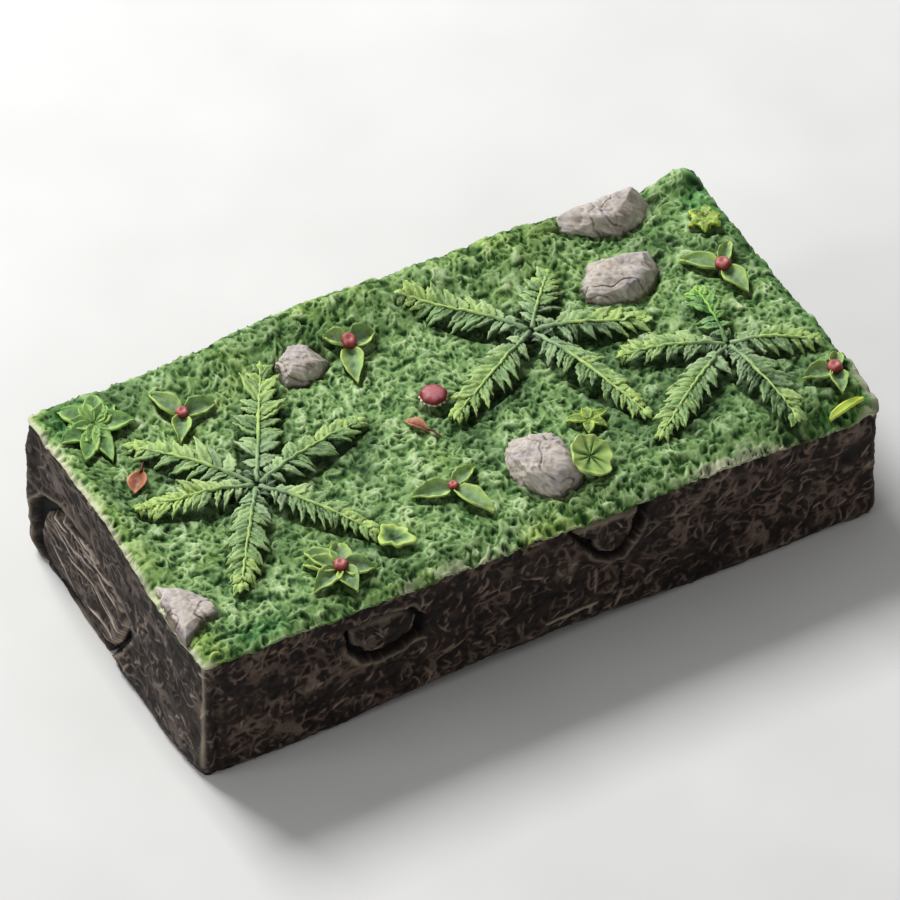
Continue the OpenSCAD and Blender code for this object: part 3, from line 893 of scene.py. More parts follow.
def make_frond(node, centre, degrees, length, broad, material, seed):
    """A frond: a raised midrib with pointed, toothed leaflets, broad behind and narrow in front."""
    rng = np.random.default_rng(seed)
    heading = math.radians(degrees)
    ahead = np.array([math.cos(heading), math.sin(heading), 0])
    aside = np.array([-ahead[1], ahead[0], 0])
    sway = rng.normal(0, 0.035) * length

    def line(t):
        t = np.atleast_1d(t)[:, None]
        height = 0.5 + 2.5 * np.sin(math.pi * np.clip(t, 0, 1) ** 0.8) ** 0.8 + 0.5 * t
        return np.array([*centre, MOSS_Z]) + ahead * length * t + aside * sway * t * t + [0, 0, 1] * height

    bundle = Bundle()
    t = np.linspace(0.03, 0.985, 44)
    rib = tube(line(t) + [0, 0, 0.05], np.interp(t, [0.03, 0.2, 0.6, 1], [0.75, 0.5, 0.38, 0.25]))
    tone = 0.22 + 0.70 * smooth(0.0, 0.6, t) + 0.22 * noise2(t * length, 0 * t, 3.0, seed)
    bundle.add(rib, edge=np.repeat(tone, 8), pale=np.repeat(0.4 * smooth(0.40, 0.12, t), 8))

    pairs = max(8, int(length / 2.9))
    for i in range(pairs):
        along = i / (pairs - 1)
        t_i = FIRST_LEAFLET + LEAFLET_SPAN * along
        reach = broad / 2 * np.sin(math.pi * np.clip(0.10 + 0.87 * t_i, 0, 0.995) ** 0.8) ** 0.75
        for side in (-1, 1):
            facing = facing_front(heading) * side
            spread = math.radians(60 - 22 * along) + np.clip(rng.normal(0, 0.14), -0.2, 0.2)
            long = (reach / math.sin(spread) * rng.uniform(0.78, 1.28) + 0.5) * (0.7 if i == 0 else 1)
            width = LEAFLET_SPAN * length / pairs * (1.35 - 0.30 * facing) * rng.uniform(0.8, 1.2)
            base = line(t_i + rng.normal(0, 0.007))[0] + aside * side * 0.02 * reach - [0, 0, 0.15]
            leaflet, edge, fold, share = blade(
                base, heading + side * spread, long, width, pitch=rng.normal(0.0, 0.10),
                roll=side * rng.normal(0.06, 0.14), droop=rng.uniform(0.6, 1.4) + 0.5 * facing, **LEAFLET)
            bright = rng.normal(0, 0.12) + 0.26 * smooth(0.45, 1.0, along) + FROND_TONES.get(node, 0.0)
            # Leaflets on the side that faces the front are painted darker: painted shade.
            tone = 0.36 + 0.16 * share + 0.26 * edge * smooth(0.1, 0.5, share) - 0.16 * facing + bright
            # gap is painted shadow between the leaflets, towards their tips, added to the darkening along
            # each leaflet's crease.
            gap = smooth(0.5, 0.95, edge) * smooth(0.60, 0.2, share)
            mid = smooth(0.3, 0.7, share) * smooth(0.9, 0.4, along)
            bundle.add(leaflet, edge=np.clip(tone, 0, 1), fold=np.clip(0.50 * fold + 0.75 * gap, 0, 0.95),
                       pale=0.5 * smooth(0.34, 0.0, along) + 0.25 * mid)
    bundle.add(blade(line(0.94)[0], heading + sway / length, 0.06 * length + 0.8, 1.7, lift=0.3, droop=0.6,
                     cup=-0.3, rows=8, columns=5)[0], edge=0.85)
    bundle.piece("leafy_" + node, node, material, 0.45, 1.1, seed)


def make_crown(node, material, seed):
    """The sunken middle of a fern: curled stubs round a hollow, over the peg in the roof."""
    rng = np.random.default_rng(seed)
    x, y, _ = middle(node)
    bundle = Bundle()
    stubs, ring = 9, 5.2
    for k in range(stubs):
        angle = TAU * k / stubs + rng.normal(0, 0.15)
        stub, edge, fold, _ = blade(
            polar(x, y, ring, angle, MOSS_Z + 0.9), angle + math.pi + 0.5, rng.uniform(3.0, 4.4), 2.5,
            pitch=0.20, lift=0.9, droop=1.2, cup=0.5, rim=0.3, thick=0.8, rows=11, columns=9)
        # The darkening along each stub's crease, and on the peg in the hollow below, is painted shade.
        bundle.add(stub, edge=0.25 + 0.70 * edge, fold=0.5 * fold, pale=0.5 * edge)
    heights = (corners(node)[0][2], MOSS_Z - 1.2, MOSS_Z - 0.4, MOSS_Z)
    bundle.add(post(x, y, heights, [2.0, 2.0, 1.8, 0.7], 20), edge=0.05, fold=0.6)
    bundle.piece("curled_" + node, node, material, 0.2, 1.0, seed)


# ---------- Small plants ----------

# Each plant is the place of its middle, then a heading in degrees, a length and a width for each leaf.
SPRIGS = {
    "rear_left": ((-63.5, 32), [(115, 11, 6), (1, 10, 6), (-120, 10, 5)]),
    "rear_middle": ((-13, 33.5), [(6, 8, 6), (-109, 13, 6), (143, 7, 5)]),
    "front_middle": ((-14.5, -25.5), [(165, 11, 6), (-70, 14, 6), (28, 10, 5)]),
    "front_left": ((-54, -37), [(143, 10, 6), (-157, 11, 6), (-25, 9, 7), (121, 11, 6), (66, 10, 6),
                                (-90, 9, 6)]),
    "rear_right": ((88, 12), [(-81, 11, 6), (135, 12, 6), (51, 10, 4)]),
    "front_right": ((94, -36), [(174, 9, 6), (-104, 8, 5), (54, 7, 4)]),
}
CORNER_PLANT = ((-86, 38.5), [(-14, 11, 6), (-93, 12, 5), (-126, 15, 5), (-163, 12, 6), (128, 11, 6),
                              (62, 10, 6), (24, 9, 5)])
CORNER_HEART = [(35, 7, 4), (95, 7, 4), (160, 7, 4), (-70, 6, 3.5), (-120, 7, 4), (-15, 6, 3.5)]
CLOVER = ((93, 30), [(60 * k, 5, 4) for k in range(6)])
CLOVER_HEART = [(30, 3.5, 3.6), (95, 3.2, 3.4), (150, 3.5, 3.6), (215, 3.4, 3.4), (-90, 3.5, 3.6),
                (-25, 3.4, 3.2)]
LEAF_TUFT = ((28.5, -21), [(10, 6, 3), (80, 5, 3), (150, 6, 3), (-120, 5, 3), (-50, 5, 3)])
BROAD_LEAF = {"lift": 0.5, "droop": 0.5, "cup": 1.1, "rim": 0.65, "groove": 0.3, "ribs": 0.10, "thick": 0.7,
              "belly": 0.72}


def make_leaves(name, node, plan, material, seed, base=0.7, rough=0.36, inner=(), **shape):
    """A plant of broad leaves round one middle, over the peg that holds it in the roof."""
    rng = np.random.default_rng(seed)
    (x, y), leaves = plan
    rows, columns, peg, hub = 19, 13, 0.9, 0.5
    bundle = Bundle()
    for degrees, length, width in [*leaves, *inner]:
        heading = math.radians(degrees)
        leaf, edge, fold, along = blade(
            polar(x, y, hub, heading, MOSS_Z + base + rng.uniform(0, 0.25)), heading, length - hub, width,
            pitch=rng.normal(0.0, 0.04), roll=rng.normal(0, 0.10), rows=rows, columns=columns,
            **{**BROAD_LEAF, **shape})
        # The rim on the side that faces the front is painted brighter: a painted highlight.
        toward = np.tile(np.linspace(-1, 1, columns), 2 * rows) * facing_front(heading)
        tone = 0.30 + (0.30 + 0.38 * smooth(-0.3, 0.5, toward)) * smooth(0.10, 0.55, edge)
        tone = np.clip(tone + rng.normal(0, 0.05), 0, 1)
        # The darkening along the middle crease is painted shade.
        bundle.add(leaf, edge=tone, fold=0.35 * fold * smooth(0.02, 0.2, along),
                   pale=0.28 * smooth(0.75, 0.2, edge))
    heights = (corners(node)[0][2], MOSS_Z, MOSS_Z + base - 0.1)
    bundle.add(post(x, y, heights, [peg, peg, peg * 0.8], 12), edge=0.3)
    bundle.piece(name, node, material, rough, 1.3, seed)


def make_berry(node, material, seed):
    """A slightly squashed berry with a dimple and a ring of tiny sepals round its top."""
    low, high = corners(node)
    x, y, _ = (low + high) / 2
    radius = 1.10 * (high[0] - low[0]) / 2
    base, top = MOSS_Z + 0.4, high[2] - 0.8
    theta = np.linspace(0.02, 0.98, 26)[:, None] * math.pi
    phi = np.linspace(0, TAU, 36, endpoint=False)[None, :]
    across = radius * np.sin(theta) ** 0.9 * (1 + 0.05 * np.cos(5 * phi + seed) * np.sin(theta))
    level = (base + top) / 2 + (top - base) / 2 * np.cos(theta) - 0.30 * radius * hump(theta, 0, 0.35)
    rings = np.stack([x + across * np.cos(phi), y + across * np.sin(phi), level + 0 * phi], axis=-1)
    # Darker low down and lighter on top: painted shade and a painted highlight.
    tone = np.clip(0.55 + 0.45 * np.cos(theta) + 0 * phi, 0, 1)
    bundle = Bundle()
    berry = stack(rings, [x, y, base], [x, y, level[0, 0] - 0.05], flip=True)
    bundle.add(berry, edge=np.append(tone, [0.1, 0.2]))
    for k in range(5):
        bundle.add(blade([x, y, top - 0.45 * radius], TAU * k / 5 + 0.3 * seed, 0.62 * radius, 0.45 * radius,
                         pitch=0.25, droop=0.2, thick=0.15, rows=5, columns=5)[0], edge=0.1, pale=0.35)
    bundle.piece("ripe_" + node, node, material, 0.07, 0.8, seed)


def lathe(x, y, profile, columns, wave=lambda phi: 1):
    """A closed shape of revolution from (radius, height) pairs; wave(angle) scales the radius."""
    profile = np.asarray(profile, float)
    phi = np.linspace(0, TAU, columns, endpoint=False)[None, :]
    radius = profile[:, :1] * wave(phi)
    rings = np.stack([x + radius * np.cos(phi), y + radius * np.sin(phi), profile[:, 1:] + 0 * phi], axis=-1)
    return stack(rings, [x, y, profile[-1, 1]], [x, y, profile[0, 1]])


def make_toadstool(cap_material, stalk_material):
    """A domed cap with a frill of pale gills under its rim, on a ringed stalk."""
    low, high = corners("toadstool_cap")
    x, y, _ = (low + high) / 2
    radius, base, top = (high[0] - low[0]) / 2, low[2], high[2]
    under = [(0.55 * radius, base + 0.5), (0.8 * radius, base + 0.15), (0.97 * radius, base)]
    dome = [(radius * math.cos(a) ** 0.75, base + 0.5 + (top - base - 0.5) * math.sin(a))
            for a in np.linspace(0, 1.5, 22)]

    def wave(phi):
        """How the cap's outline swells and dips round it."""
        return 1 + 0.03 * np.cos(7 * phi + 1) + 0.02 * np.cos(3 * phi)

    shape = lathe(x, y, under + dome, 56, wave)
    height = (shape[0][:, 2] - base) / (top - base)
    cap = Bundle()
    # The cap is darker low down and lighter on top: painted shade and a painted highlight; its pale
    # underside is its own colour.
    cap.add(shape, edge=np.clip(0.25 + 0.75 * height, 0, 1), pale=smooth(0.16, 0.04, height))
    gills = 16
    for angle in TAU * np.arange(gills) / gills:
        cap.add(blade(polar(x, y, 0.75 * radius, angle, base + 0.1), angle, 0.36 * radius, 1.2, droop=0.1,
                      lift=0.15, thick=0.35, rows=6, columns=5)[0], edge=0.5, pale=0.9)
    cap.piece("spotted_cap", "toadstool_cap", cap_material, 0.08, 0.9, 7)
    low, high = corners("toadstool_stalk")
    rings = [(2.0 - 0.25 * math.sin(math.pi * s) + 0.1 * math.cos(9 * s), low[2] + s * (high[2] - low[2]))
             for s in np.linspace(0, 1, 14)]
    stalk = Bundle()
    stalk.add(lathe(x, y, rings, 24), edge=0.6, pale=0.9)
    stalk.piece("ringed_stalk", "toadstool_stalk", stalk_material, 0.08, 0.9, 8)


def dish(reach, height, rows, columns, thick):
    """A closed round leaf from its outline reach(phi) and the height(r, phi) of its upper side."""
    r = np.linspace(0.03, 1, rows)[:, None]
    phi = np.linspace(0, TAU, columns, endpoint=False)[None, :]
    top = np.stack([r * reach(phi) * np.cos(phi), r * reach(phi) * np.sin(phi), height(r, phi)], axis=-1)
    tip, down = np.array([0, 0, top[0, :, 2].mean()]), np.array([0, 0, thick])
    points, faces = stack([*top, *(top - down)[::-1]], tip - down, tip, flip=True)
    return points, faces, r, phi


def both_sides(values):
    """A value for every point of a dish: its upper side, its lower side, and their two middles."""
    return np.concatenate([values.ravel(), values[::-1].ravel(), values[0, :1], values[0, :1]])


def make_round_leaf(material):
    """A broad scalloped leaf that leans on the front rock, with deep veins out from its stem."""
    slope, facing, radius = math.radians(28), math.radians(-58), 6.0

    def vein(r, phi):
        place = np.mod(phi * 8 / TAU + 0.25 * np.sin(3 * phi), 1) - 0.5
        return hump(place, 0, 0.12 + 0.04 / (r + 0.2))

    def reach(phi):
        lobes = 0.04 * np.cos(9 * phi) + 0.05 * np.cos(4 * phi + 1) + 0.03 * np.cos(5 * phi + 1)
        return radius * (1 + lobes)

    def height(r, phi):
        folds = 0.55 * vein(r, phi) * (1 - 0.8 * r) + 0.4 * (1 - r) ** 2
        return 0.5 * r ** 3 - folds + 0.2 * np.cos(9 * phi) * r * r

    points, faces, r, phi = dish(reach, height, 22, 96, 0.9)
    points = turned(turned(points, [0, 0, 0], 0, pitch=-slope), middle("round_leaf") + [0, 0, 0.3], facing)
    # Darker in the sunken veins near the stem: painted shade.
    tone = np.clip(0.30 + 0.5 * r - 0.45 * vein(r, phi) * (1 - 0.7 * r), 0, 1)
    bundle = Bundle()
    bundle.add((points, faces), edge=both_sides(tone), fold=both_sides(0.85 * vein(r, phi) * (1 - r) ** 0.6))
    bundle.piece("veined_leaf", "round_leaf", material, 0.18, 1.4, 9)


def make_fallen_leaf(name, node, degrees, length, width, stem_degrees, material, seed):
    """A dry leaf, folded along its middle, with a thin crooked stem."""
    heading, stem_heading = math.radians(degrees), math.radians(stem_degrees)
    ahead = np.array([math.cos(heading), math.sin(heading)])
    start = middle(node)[:2] - 0.5 * length * ahead
    bundle = Bundle()
    leaf, edge, fold, along = blade(
        [*start, MOSS_Z + 0.5], heading, length, width, lift=0.9, droop=0.1, cup=0.9, groove=0.5, ribs=0.12,
        roll=0.15, thick=0.4, belly=1.2, rows=15, columns=9)
    tone = 0.25 + 0.5 * edge + 0.2 * along
    # The darkening along the middle crease is painted shade.
    bundle.add(leaf, edge=tone, fold=0.5 * fold, pale=0.5 * smooth(0.7, 1.0, edge))
    stem_length, steps = 4.5, 9
    s = np.linspace(0, 1, steps)
    stem = stem_length * np.array([[math.cos(stem_heading)], [math.sin(stem_heading)]])
    x, y = (start + 0.8 * ahead)[:, None] + s * stem
    path = np.column_stack([x, y + 0.5 * np.sin(3 * s), MOSS_Z + 0.9 + 0.3 * np.sin(4 * s)])
    bundle.add(tube(path, np.linspace(0.42, 0.26, steps), 7), edge=0.2, fold=0.2)
    bundle.piece(name, node, material, 0.12, 1.0, seed)


def make_curled_leaf(material):
    """A squarish leaf curled up into a cup, with a bright rim, painted shade in its hollow, and a tail on
    the right.
    """
    x, y, _ = middle("curled_leaf") + [-0.6, 0.6, 0]

    def reach(phi):
        tail = hump(np.angle(np.exp(1j * (phi + 0.75))), 0, 0.30)
        return 3.9 * (1 + 0.10 * np.cos(4 * phi - 0.6) + 0.06 * np.cos(7 * phi) + 0.75 * tail)

    def height(r, phi):
        return 1.9 * r ** 1.5 - 0.7 * r ** 6 + 0.35 * np.cos(3 * phi + 1) * r

    points, faces, r, phi = dish(reach, height, 16, 72, 0.8)
    r = r + 0 * phi
    bundle = Bundle()
    # The hollow of the cup and the peg under it are painted dark: painted shade.
    bundle.add((points + [x, y, MOSS_Z + 0.5], faces), edge=both_sides(0.35 + 0.5 * smooth(0.45, 0.9, r)),
               fold=both_sides(0.95 * smooth(0.5, 0.15, r)))
    bundle.add(post(x, y, (MOSS_Z - 1.0, MOSS_Z, MOSS_Z + 0.4), [1.2, 1.2, 0.8], 12), edge=0.2, fold=0.8)
    bundle.piece("cupped_leaf", "curled_leaf", material, 0.30, 1.3, 21)


def make_edge_leaf(material):
    """A long pale leaf that lies low against the front right corner."""
    x, y, _ = corners("edge_leaf")[0]
    bundle = Bundle()
    leaf, edge, fold, _ = blade([x, y + 0.6, MOSS_Z - 3.1], math.radians(8), 11.4, 2.9, pitch=0.12, lift=0.5,
                                cup=0.3, rim=0.4, groove=0.3, roll=-0.25, thick=0.9, belly=0.9, point=0.6,
                                rows=17, columns=9)
    # The slight darkening along the middle crease is painted shade.
    bundle.add(leaf, edge=0.6 + 0.35 * edge, fold=0.3 * fold)
    bundle.piece("pale_edge_leaf", "edge_leaf", material, 0.14, 1.2, 22)


# ---------- Moss ----------

ROCKS = ["rear_large_rock", "rear_small_rock", "rear_left_rock", "front_rock", "corner_rock"]
# Each layer is a seed, strokes per square mm, lengths, half widths, heights, and how much they turn.
MOSS_STROKES = [
    (5, 0.20, (2.0, 5.0), (0.26, 0.55), (0.40, 0.9), 2.2),
    (6, 0.05, (4.0, 8.0), (0.26, 0.42), (0.6, 1.0), 4.5),
    (7, 0.22, (0.8, 2.4), (0.40, 0.95), (0.25, 0.65), 1.0),
    (9, 0.035, (3.0, 6.5), (0.7, 1.15), (0.45, 0.75), 1.2),
]
MOSS_CUSHIONS = (8, 0.035, (2.0, 6.0), (1.2, 2.6), (0.3, 1.0), 1.0)


def leaf_shade(x, y, start, degrees, length, half, fade=1.0):
    """Shade beside a long leaf: 1 under it and on its front side, fading out beyond its edge."""
    dx, dy = math.cos(math.radians(degrees)), math.sin(math.radians(degrees))
    rx, ry = x - start[0], y + 1.3 - start[1]
    t = np.clip((rx * dx + ry * dy) / length, 0, 1)
    gap = np.hypot(rx - t * length * dx, ry - t * length * dy)
    reach = half * np.sin(math.pi * (0.12 + 0.85 * t) ** 0.8)
    return smooth(reach + fade, reach - 0.6, gap)


def moss_shade(x, y):
    """The painted shade on the moss close beside each plant and rock, and a softer painted shade round the
    ferns mixed with random darker patches.
    """
    shade, deep = np.zeros(x.shape), np.zeros(x.shape)
    for fern, fronds in FERNS.items():
        centre = middle(fern + "_fern_crown")
        away = np.hypot(x - centre[0], y - centre[1])
        shade = np.maximum(shade, 0.95 * np.exp(-(away / 5.5) ** 4))
        deep = np.maximum(deep, hump(away, 0, 12))
        for degrees, length, broad in fronds:
            shade = np.maximum(shade, 0.95 * leaf_shade(x, y, centre, degrees, length, broad / 2))
            deep = np.maximum(deep, 0.85 * leaf_shade(x, y, centre, degrees, length, broad / 2, 6.0))
    for centre, leaves in [*SPRIGS.values(), CORNER_PLANT, CLOVER, LEAF_TUFT]:
        for degrees, length, width in leaves:
            shade = np.maximum(shade, 0.85 * leaf_shade(x, y, centre, degrees, length, 0.42 * width))
    for node in ROCKS:
        outline = foot_outline(node)
        gap = polygon_distance(x + 0.3, y + 1.0, outline)
        shade = np.maximum(shade, 0.85 * smooth(1.5, 0.2, gap) * (y < outline[:, 1].mean() + 2))
    for node in ("round_leaf", "curled_leaf", "toadstool_cap"):
        spot = middle(node)
        shade = np.maximum(shade, 0.8 * smooth(6.0, 4.2, np.hypot(x - spot[0], y + 1.2 - spot[1])))
    # Softer painted shade round the ferns and their crowns, mixed with random darker patches.
    deep = np.clip(0.75 * deep + 0.8 * smooth(-0.05, 0.7, noise2(x, y, 15, 82, 2)), 0, 1)
    return shade * (0.8 + 0.3 * noise2(x, y, 2.0, 61)), deep


def patch(x, y, place, size):
    """1 at a place, fading out over a size in x and y."""
    return hump(x, place[0], size[0]) * hump(y, place[1], size[1])


def moss_tints(x, y, edge, curls):
    """Where the moss is warmer, brighter green, and brushed with cream."""
    front = smooth(-43.5, -47.5, y)
    warm = (0.10 + 0.55 * smooth(12, 0, x + HALF_LENGTH) + 0.45 * noise2(x, y, 16, 62, 2)
            + 0.6 * patch(x, y, (-78, -18), (12, 6)) + 0.15 * hump(y, 46, 5) * smooth(-60, -40, x)
            + 0.4 * front * smooth(-62, -45, x) * smooth(22, 5, x))
    vivid = (patch(x, y, (-90, 42), (11, 8)) + 0.9 * patch(x, y, (95, 38), (6, 8)) + 0.6 * hump(x, 99, 3)
             + 0.9 * patch(x, y, (88, -46), (9, 3)) + 0.8 * patch(x, y, (-82, -45), (12, 4)))
    brushed = smooth(0.05, 0.5, curls) * (0.72 + 0.4 * noise2(x, y, 7, 63))
    lip = smooth(-45.8, -48.2, y)
    cream = ((1.1 * front * hump(x, -26, 26) + 1.1 * lip * hump(x, 52, 22)) * brushed
             + 1.0 * smooth(2.0, 0.3, edge) * smooth(-94, -98, x)
             + 0.9 * smooth(3.0, 0.5, edge) * smooth(92, 97, x) * smooth(-30, -38, y)
             + 0.5 * smooth(1.0, 0.0, edge) * smooth(-0.1, 0.5, noise2(x, y, 7, 65))
             + 0.8 * patch(x, y, (92, -38), (7, 8)) * brushed)
    return warm, vivid, cream


def make_moss(material):
    """The moss: curled ridges, pits and soft cushions over the ground, down to the roof."""
    step = 0.36
    columns = int(round(2 * HALF_LENGTH / step)) + 1
    rows = int(round(2 * HALF_DEPTH / step)) + 1
    y = np.linspace(-HALF_DEPTH, HALF_DEPTH, rows)[:, None]
    over = np.clip(np.abs(y) - (HALF_DEPTH - CORNER), 0, CORNER)
    x = np.linspace(-1, 1, columns)[None, :] * (HALF_LENGTH - CORNER + np.sqrt(CORNER ** 2 - over ** 2))
    y = y + 0 * x
    edge = edge_distance(x, y)

    low, high = (-102, -51), (102, 51)
    relief = Relief(low, high, 0.25)
    for strokes in MOSS_STROKES:
        relief.scatter(*strokes)
    web = np.maximum(smooth(0.26, 0.0, np.abs(noise2(x, y, 2.6, 71, 2))),
                     0.85 * smooth(0.22, 0.0, np.abs(noise2(x + 0.4 * y, y, 1.9, 72, 2))))
    curls = np.maximum(relief.at(x, y), (0.45 + 0.25 * noise2(x, y, 5, 73)) * web)
    pits = smooth(0.15, 0.60, noise2(x, y, 2.4, 75, 2)) * np.clip(0.75 + 0.5 * noise2(x, y, 13, 76), 0, 1)
    cushions = Relief(low, high, 0.5)
    cushions.scatter(*MOSS_CUSHIONS)
    swell = cushions.at(x, y)

    shade, deep = moss_shade(x, y)
    tangle = 0.95 * curls * (1 - 0.4 * shade) + 0.55 * (swell - 0.4) - 0.75 * pits
    # Painted shadow on the front side of each ridge, where the ground just behind stands higher.
    ridge_shadow = smooth(0.08, 0.60, np.roll(tangle, -3, axis=0) - tangle)
    height = (roof_base(x, y) + tangle - 1.4 * shade - 1.1 * smooth(1.8, 0.0, edge)
              + 0.5 * smooth(3, 0, edge) * noise2(x, y, 2.2, 64))
    warm, vivid, cream = moss_tints(x, y, edge, curls)
    # dark is painted shade beside plants and rocks and painted shadow under the ridges.
    fields = {"relief": 0.20 + 0.60 * curls + 0.20 * swell - 0.22 * pits - 0.18 * ridge_shadow, "deep": deep,
              "dark": np.maximum(0.74 * shade, 0.36 * ridge_shadow), "warm": warm, "vivid": vivid, "cream": cream}

    overhang = 0.55 * smooth(2.5, 0.0, edge)
    wide_x, wide_y = x * (1 + overhang / HALF_LENGTH), y * (1 + overhang / HALF_DEPTH)
    points = np.column_stack([wide_x.ravel(), wide_y.ravel(), height.ravel()])
    border = np.array(border_of(rows, columns))
    rim = points[border]
    underside = ROOF_Z - 0.5
    rings = [rim * [0.9965, 0.993, 1] - [0, 0, 0.8], rim * [0.98, 0.96, 1] - [0, 0, 2.5],
             rim * [0.95, 0.90, 0] + [0, 0, underside]]
    start, count = columns * rows, len(border)
    faces = grid_faces(rows, columns)
    for i, j in zip(range(count), np.roll(np.arange(count), -1)):
        faces.append([border[j], border[i], start + i, start + j])
        for ring in (start, start + count):
            faces.append([ring + j, ring + i, ring + count + i, ring + count + j])
        faces.append([start + 2 * count + j, start + 2 * count + i, start + 3 * count])
    for key, values in fields.items():
        values = values.ravel()
        fields[key] = np.concatenate([values, np.tile(values[border], 3), [0.2]])
    solid = np.concatenate([points, *rings, [[0, 0, underside]]])
    add_piece(as_object("moss_carpet", solid, faces, fields), "moss_layer", material)


# ---------- Floor, light and camera ----------

CAMERA_AZIMUTH, CAMERA_ELEVATION, CAMERA_DISTANCE = -29.08, 44.74, 2482.0
CAMERA_ASIDE, CAMERA_ABOVE = -1.2, 20.4
SENSOR, LENS = 36.0, 375.5
FLOOR_HALF = 3000


def add_to_scene(obj, place, toward):
    """Adds a light or camera at a place in metres, looking along a direction."""
    obj.location = place
    obj.rotation_euler = Vector(toward).to_track_quat("-Z", "Y").to_euler()
    bpy.context.collection.objects.link(obj)


def area_light(name, place, size, power):
    """A square soft light that faces the block."""
    light = bpy.data.lights.new(name, "AREA")
    light.size = size
    light.energy = power
    add_to_scene(bpy.data.objects.new(name, light), place, Vector((0, 0, 0.03)) - Vector(place))


def make_floor():
    points = [[FLOOR_HALF * i, FLOOR_HALF * j, 0] for i, j in ((-1, -1), (1, -1), (1, 1), (-1, 1))]
    floor = as_object("floor", points, [[0, 1, 2, 3]])
    p = Painter("floor_paint", 0.2)
    colour = p.ramp(p.noise(60.0, 2.0), (0.3, 0.7), "#cfcfcd #d6d6d4")
    floor.data.materials.append(p.finish(colour, 0.02, 2.0, (0.75, 0.85)))


def make_camera():
    """A long lens that looks down past the block's front left corner."""
    azimuth, elevation = math.radians(CAMERA_AZIMUTH), math.radians(CAMERA_ELEVATION)
    level = math.cos(elevation)
    back = np.array([math.sin(azimuth) * level, -math.cos(azimuth) * level, math.sin(elevation)])
    right = np.array([math.cos(azimuth), math.sin(azimuth), 0])
    data = bpy.data.cameras.new("camera")
    data.sensor_width = SENSOR
    data.lens = LENS
    data.clip_start, data.clip_end = 0.05, 20
    camera = bpy.data.objects.new("camera", data)
    place = back * CAMERA_DISTANCE + right * CAMERA_ASIDE + np.cross(back, right) * CAMERA_ABOVE
    add_to_scene(camera, place * MM, -back)
    bpy.context.scene.camera = camera


def make_studio():
    """A key light behind the block, a weak fill from its left, and an even pale sky."""
    area_light("key", place=(-0.20, 1.05, 1.15), size=0.55, power=30)
    area_light("fill", place=(-1.5, 0.1, 0.55), size=0.8, power=9)
    world = bpy.data.worlds.new("studio")
    world.use_nodes = True
    world.node_tree.nodes["Background"].inputs["Color"].default_value = (1, 1, 1, 1)
    world.node_tree.nodes["Background"].inputs["Strength"].default_value = 0.30
    bpy.context.scene.world = world
    bpy.context.scene.view_settings.view_transform = "Standard"


# ---------- The ornament ----------

SOFT = (0.5, 0.7)
BITES = {
    "front_left_stone": [(205, 0.9, 0.5), (-10, 1.0, 0.4)],
    "front_right_stone": [(190, 1.6, 0.5), (15, 1.4, 0.5)],
    "left_end_stone": [(14, 3.6, 0.35), (180, 1.6, 0.3)],
}
ROCK_SHAPES = {
    "rear_large_rock": {"cuts": 4, "squareness": 0.30},
    "rear_left_rock": {"spread": 1.17},
    "corner_rock": {"spread": 1.12},
}


def make_stonework():
    """The block, its side stones, the moss and the rocks."""
    stone = stone_paint()
    make_shell(stone)
    for number, (node, wall) in enumerate(STONE_WALLS.items()):
        make_side_stone(node, wall, stone, 70 + 10 * number, BITES.get(node, ()))
    make_moss(moss_paint())
    grey = rock_paint()
    for number, node in enumerate(ROCKS):
        make_rock(node, grey, 200 + 7 * number, **ROCK_SHAPES.get(node, {}))


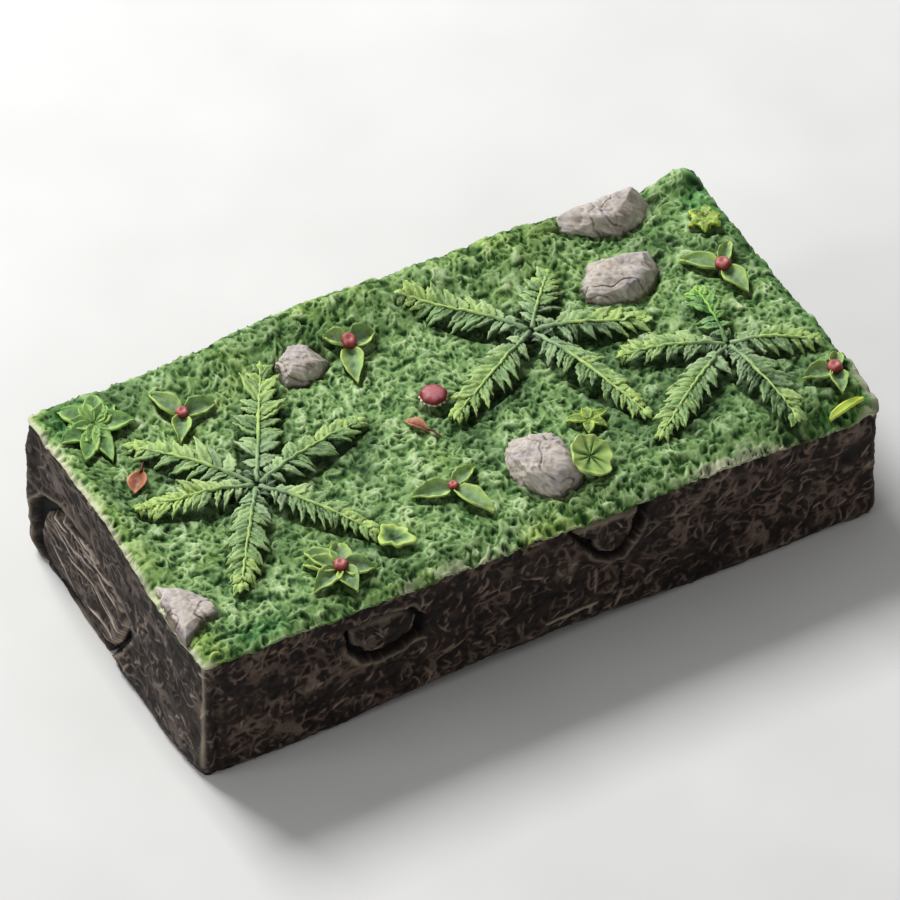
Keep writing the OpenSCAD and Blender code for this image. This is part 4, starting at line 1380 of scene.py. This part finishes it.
def make_ferns():
    """Three crowns with their fronds, one of them brighter than the rest."""
    fern_green = leaf_paint("fern_paint", "#233f18", "#76985c", "#a9c46c", "#a2b892", (0.55, 0.75))
    bright_green = leaf_paint("bright_paint", "#0f2609", "#4a8237", "#8fbd55", "#88a874")
    crown_green = leaf_paint("crown_paint", "#0a1408", "#3b5733", "#6d8960", "#7d9474")
    for number, (fern, fronds) in enumerate(FERNS.items()):
        make_crown(fern + "_fern_crown", crown_green, 300 + number)
        centre = middle(fern + "_fern_crown")[:2]
        for k, (degrees, length, broad) in enumerate(fronds):
            node = "%s_frond_%d" % (fern, k + 1)
            paint = bright_green if node == "right_frond_5" else fern_green
            make_frond(node, centre, degrees, length, broad, paint, 310 + 10 * number + k)


def make_small_plants():
    """Sprigs with berries, rosettes, single leaves, the toadstool and the fallen leaves."""
    leaf_green = leaf_paint("leaf_paint", "#213a17", "#688c50", "#b0c966", "#97af86", SOFT)
    vivid_green = leaf_paint("vivid_paint", "#1f3d14", "#54853d", "#9dbf62", "#8aaa72", SOFT)
    lime = leaf_paint("lime_paint", "#20300a", "#7fa53c", "#c2d14e", "#a3b36a")
    red = berry_paint("berry_paint", "#5a1115", "#8c2a2e", "#b06a66")
    for number, (name, plan) in enumerate(SPRIGS.items()):
        make_leaves("cupped_%s_sprig" % name, name + "_sprig", plan, leaf_green, 400 + number)
        make_berry(name + "_berry", red, 420 + number)
    make_leaves("rosette", "corner_plant", CORNER_PLANT, vivid_green, 431, inner=CORNER_HEART,
                rim=0.25, cup=0.3, groove=0.5, ribs=0.12)
    make_leaves("clover_leaves", "clover", CLOVER, lime, 432, inner=CLOVER_HEART, base=1.5, rim=0.1,
                cup=-0.4, rough=0.6, teeth=0.3)
    tuft_green = leaf_paint("tuft_paint", "#22360c", "#7c9f3d", "#bacd5a", "#a0b474", SOFT)
    make_leaves("tuft_leaves", "leaf_tuft", LEAF_TUFT, tuft_green, 433, rim=0.3, cup=0.4, rough=0.35)
    make_round_leaf(leaf_paint("round_leaf_paint", "#365b1c", "#8cb25c", "#bcd477", "#b2c992"))
    make_curled_leaf(leaf_green)
    make_edge_leaf(lime)
    make_toadstool(berry_paint("cap_paint", "#4c0d12", "#7c232a", "#a66367"),
                   leaf_paint("stalk_paint", "#6d6650", "#a39a7c", "#c6bd9f", "#cfc6aa"))
    rust = leaf_paint("rust_paint", "#2c1208", "#874328", "#b8704c", "#b89c78")
    make_fallen_leaf("rusty_leaf_left", "fallen_leaf_left", 228, 8.4, 5.4, 48, rust, 441)
    make_fallen_leaf("rusty_leaf_middle", "fallen_leaf_middle", 117, 7.5, 3.8, -63, rust, 442)


make_stonework()
make_ferns()
make_small_plants()
make_floor()
make_camera()
make_studio()
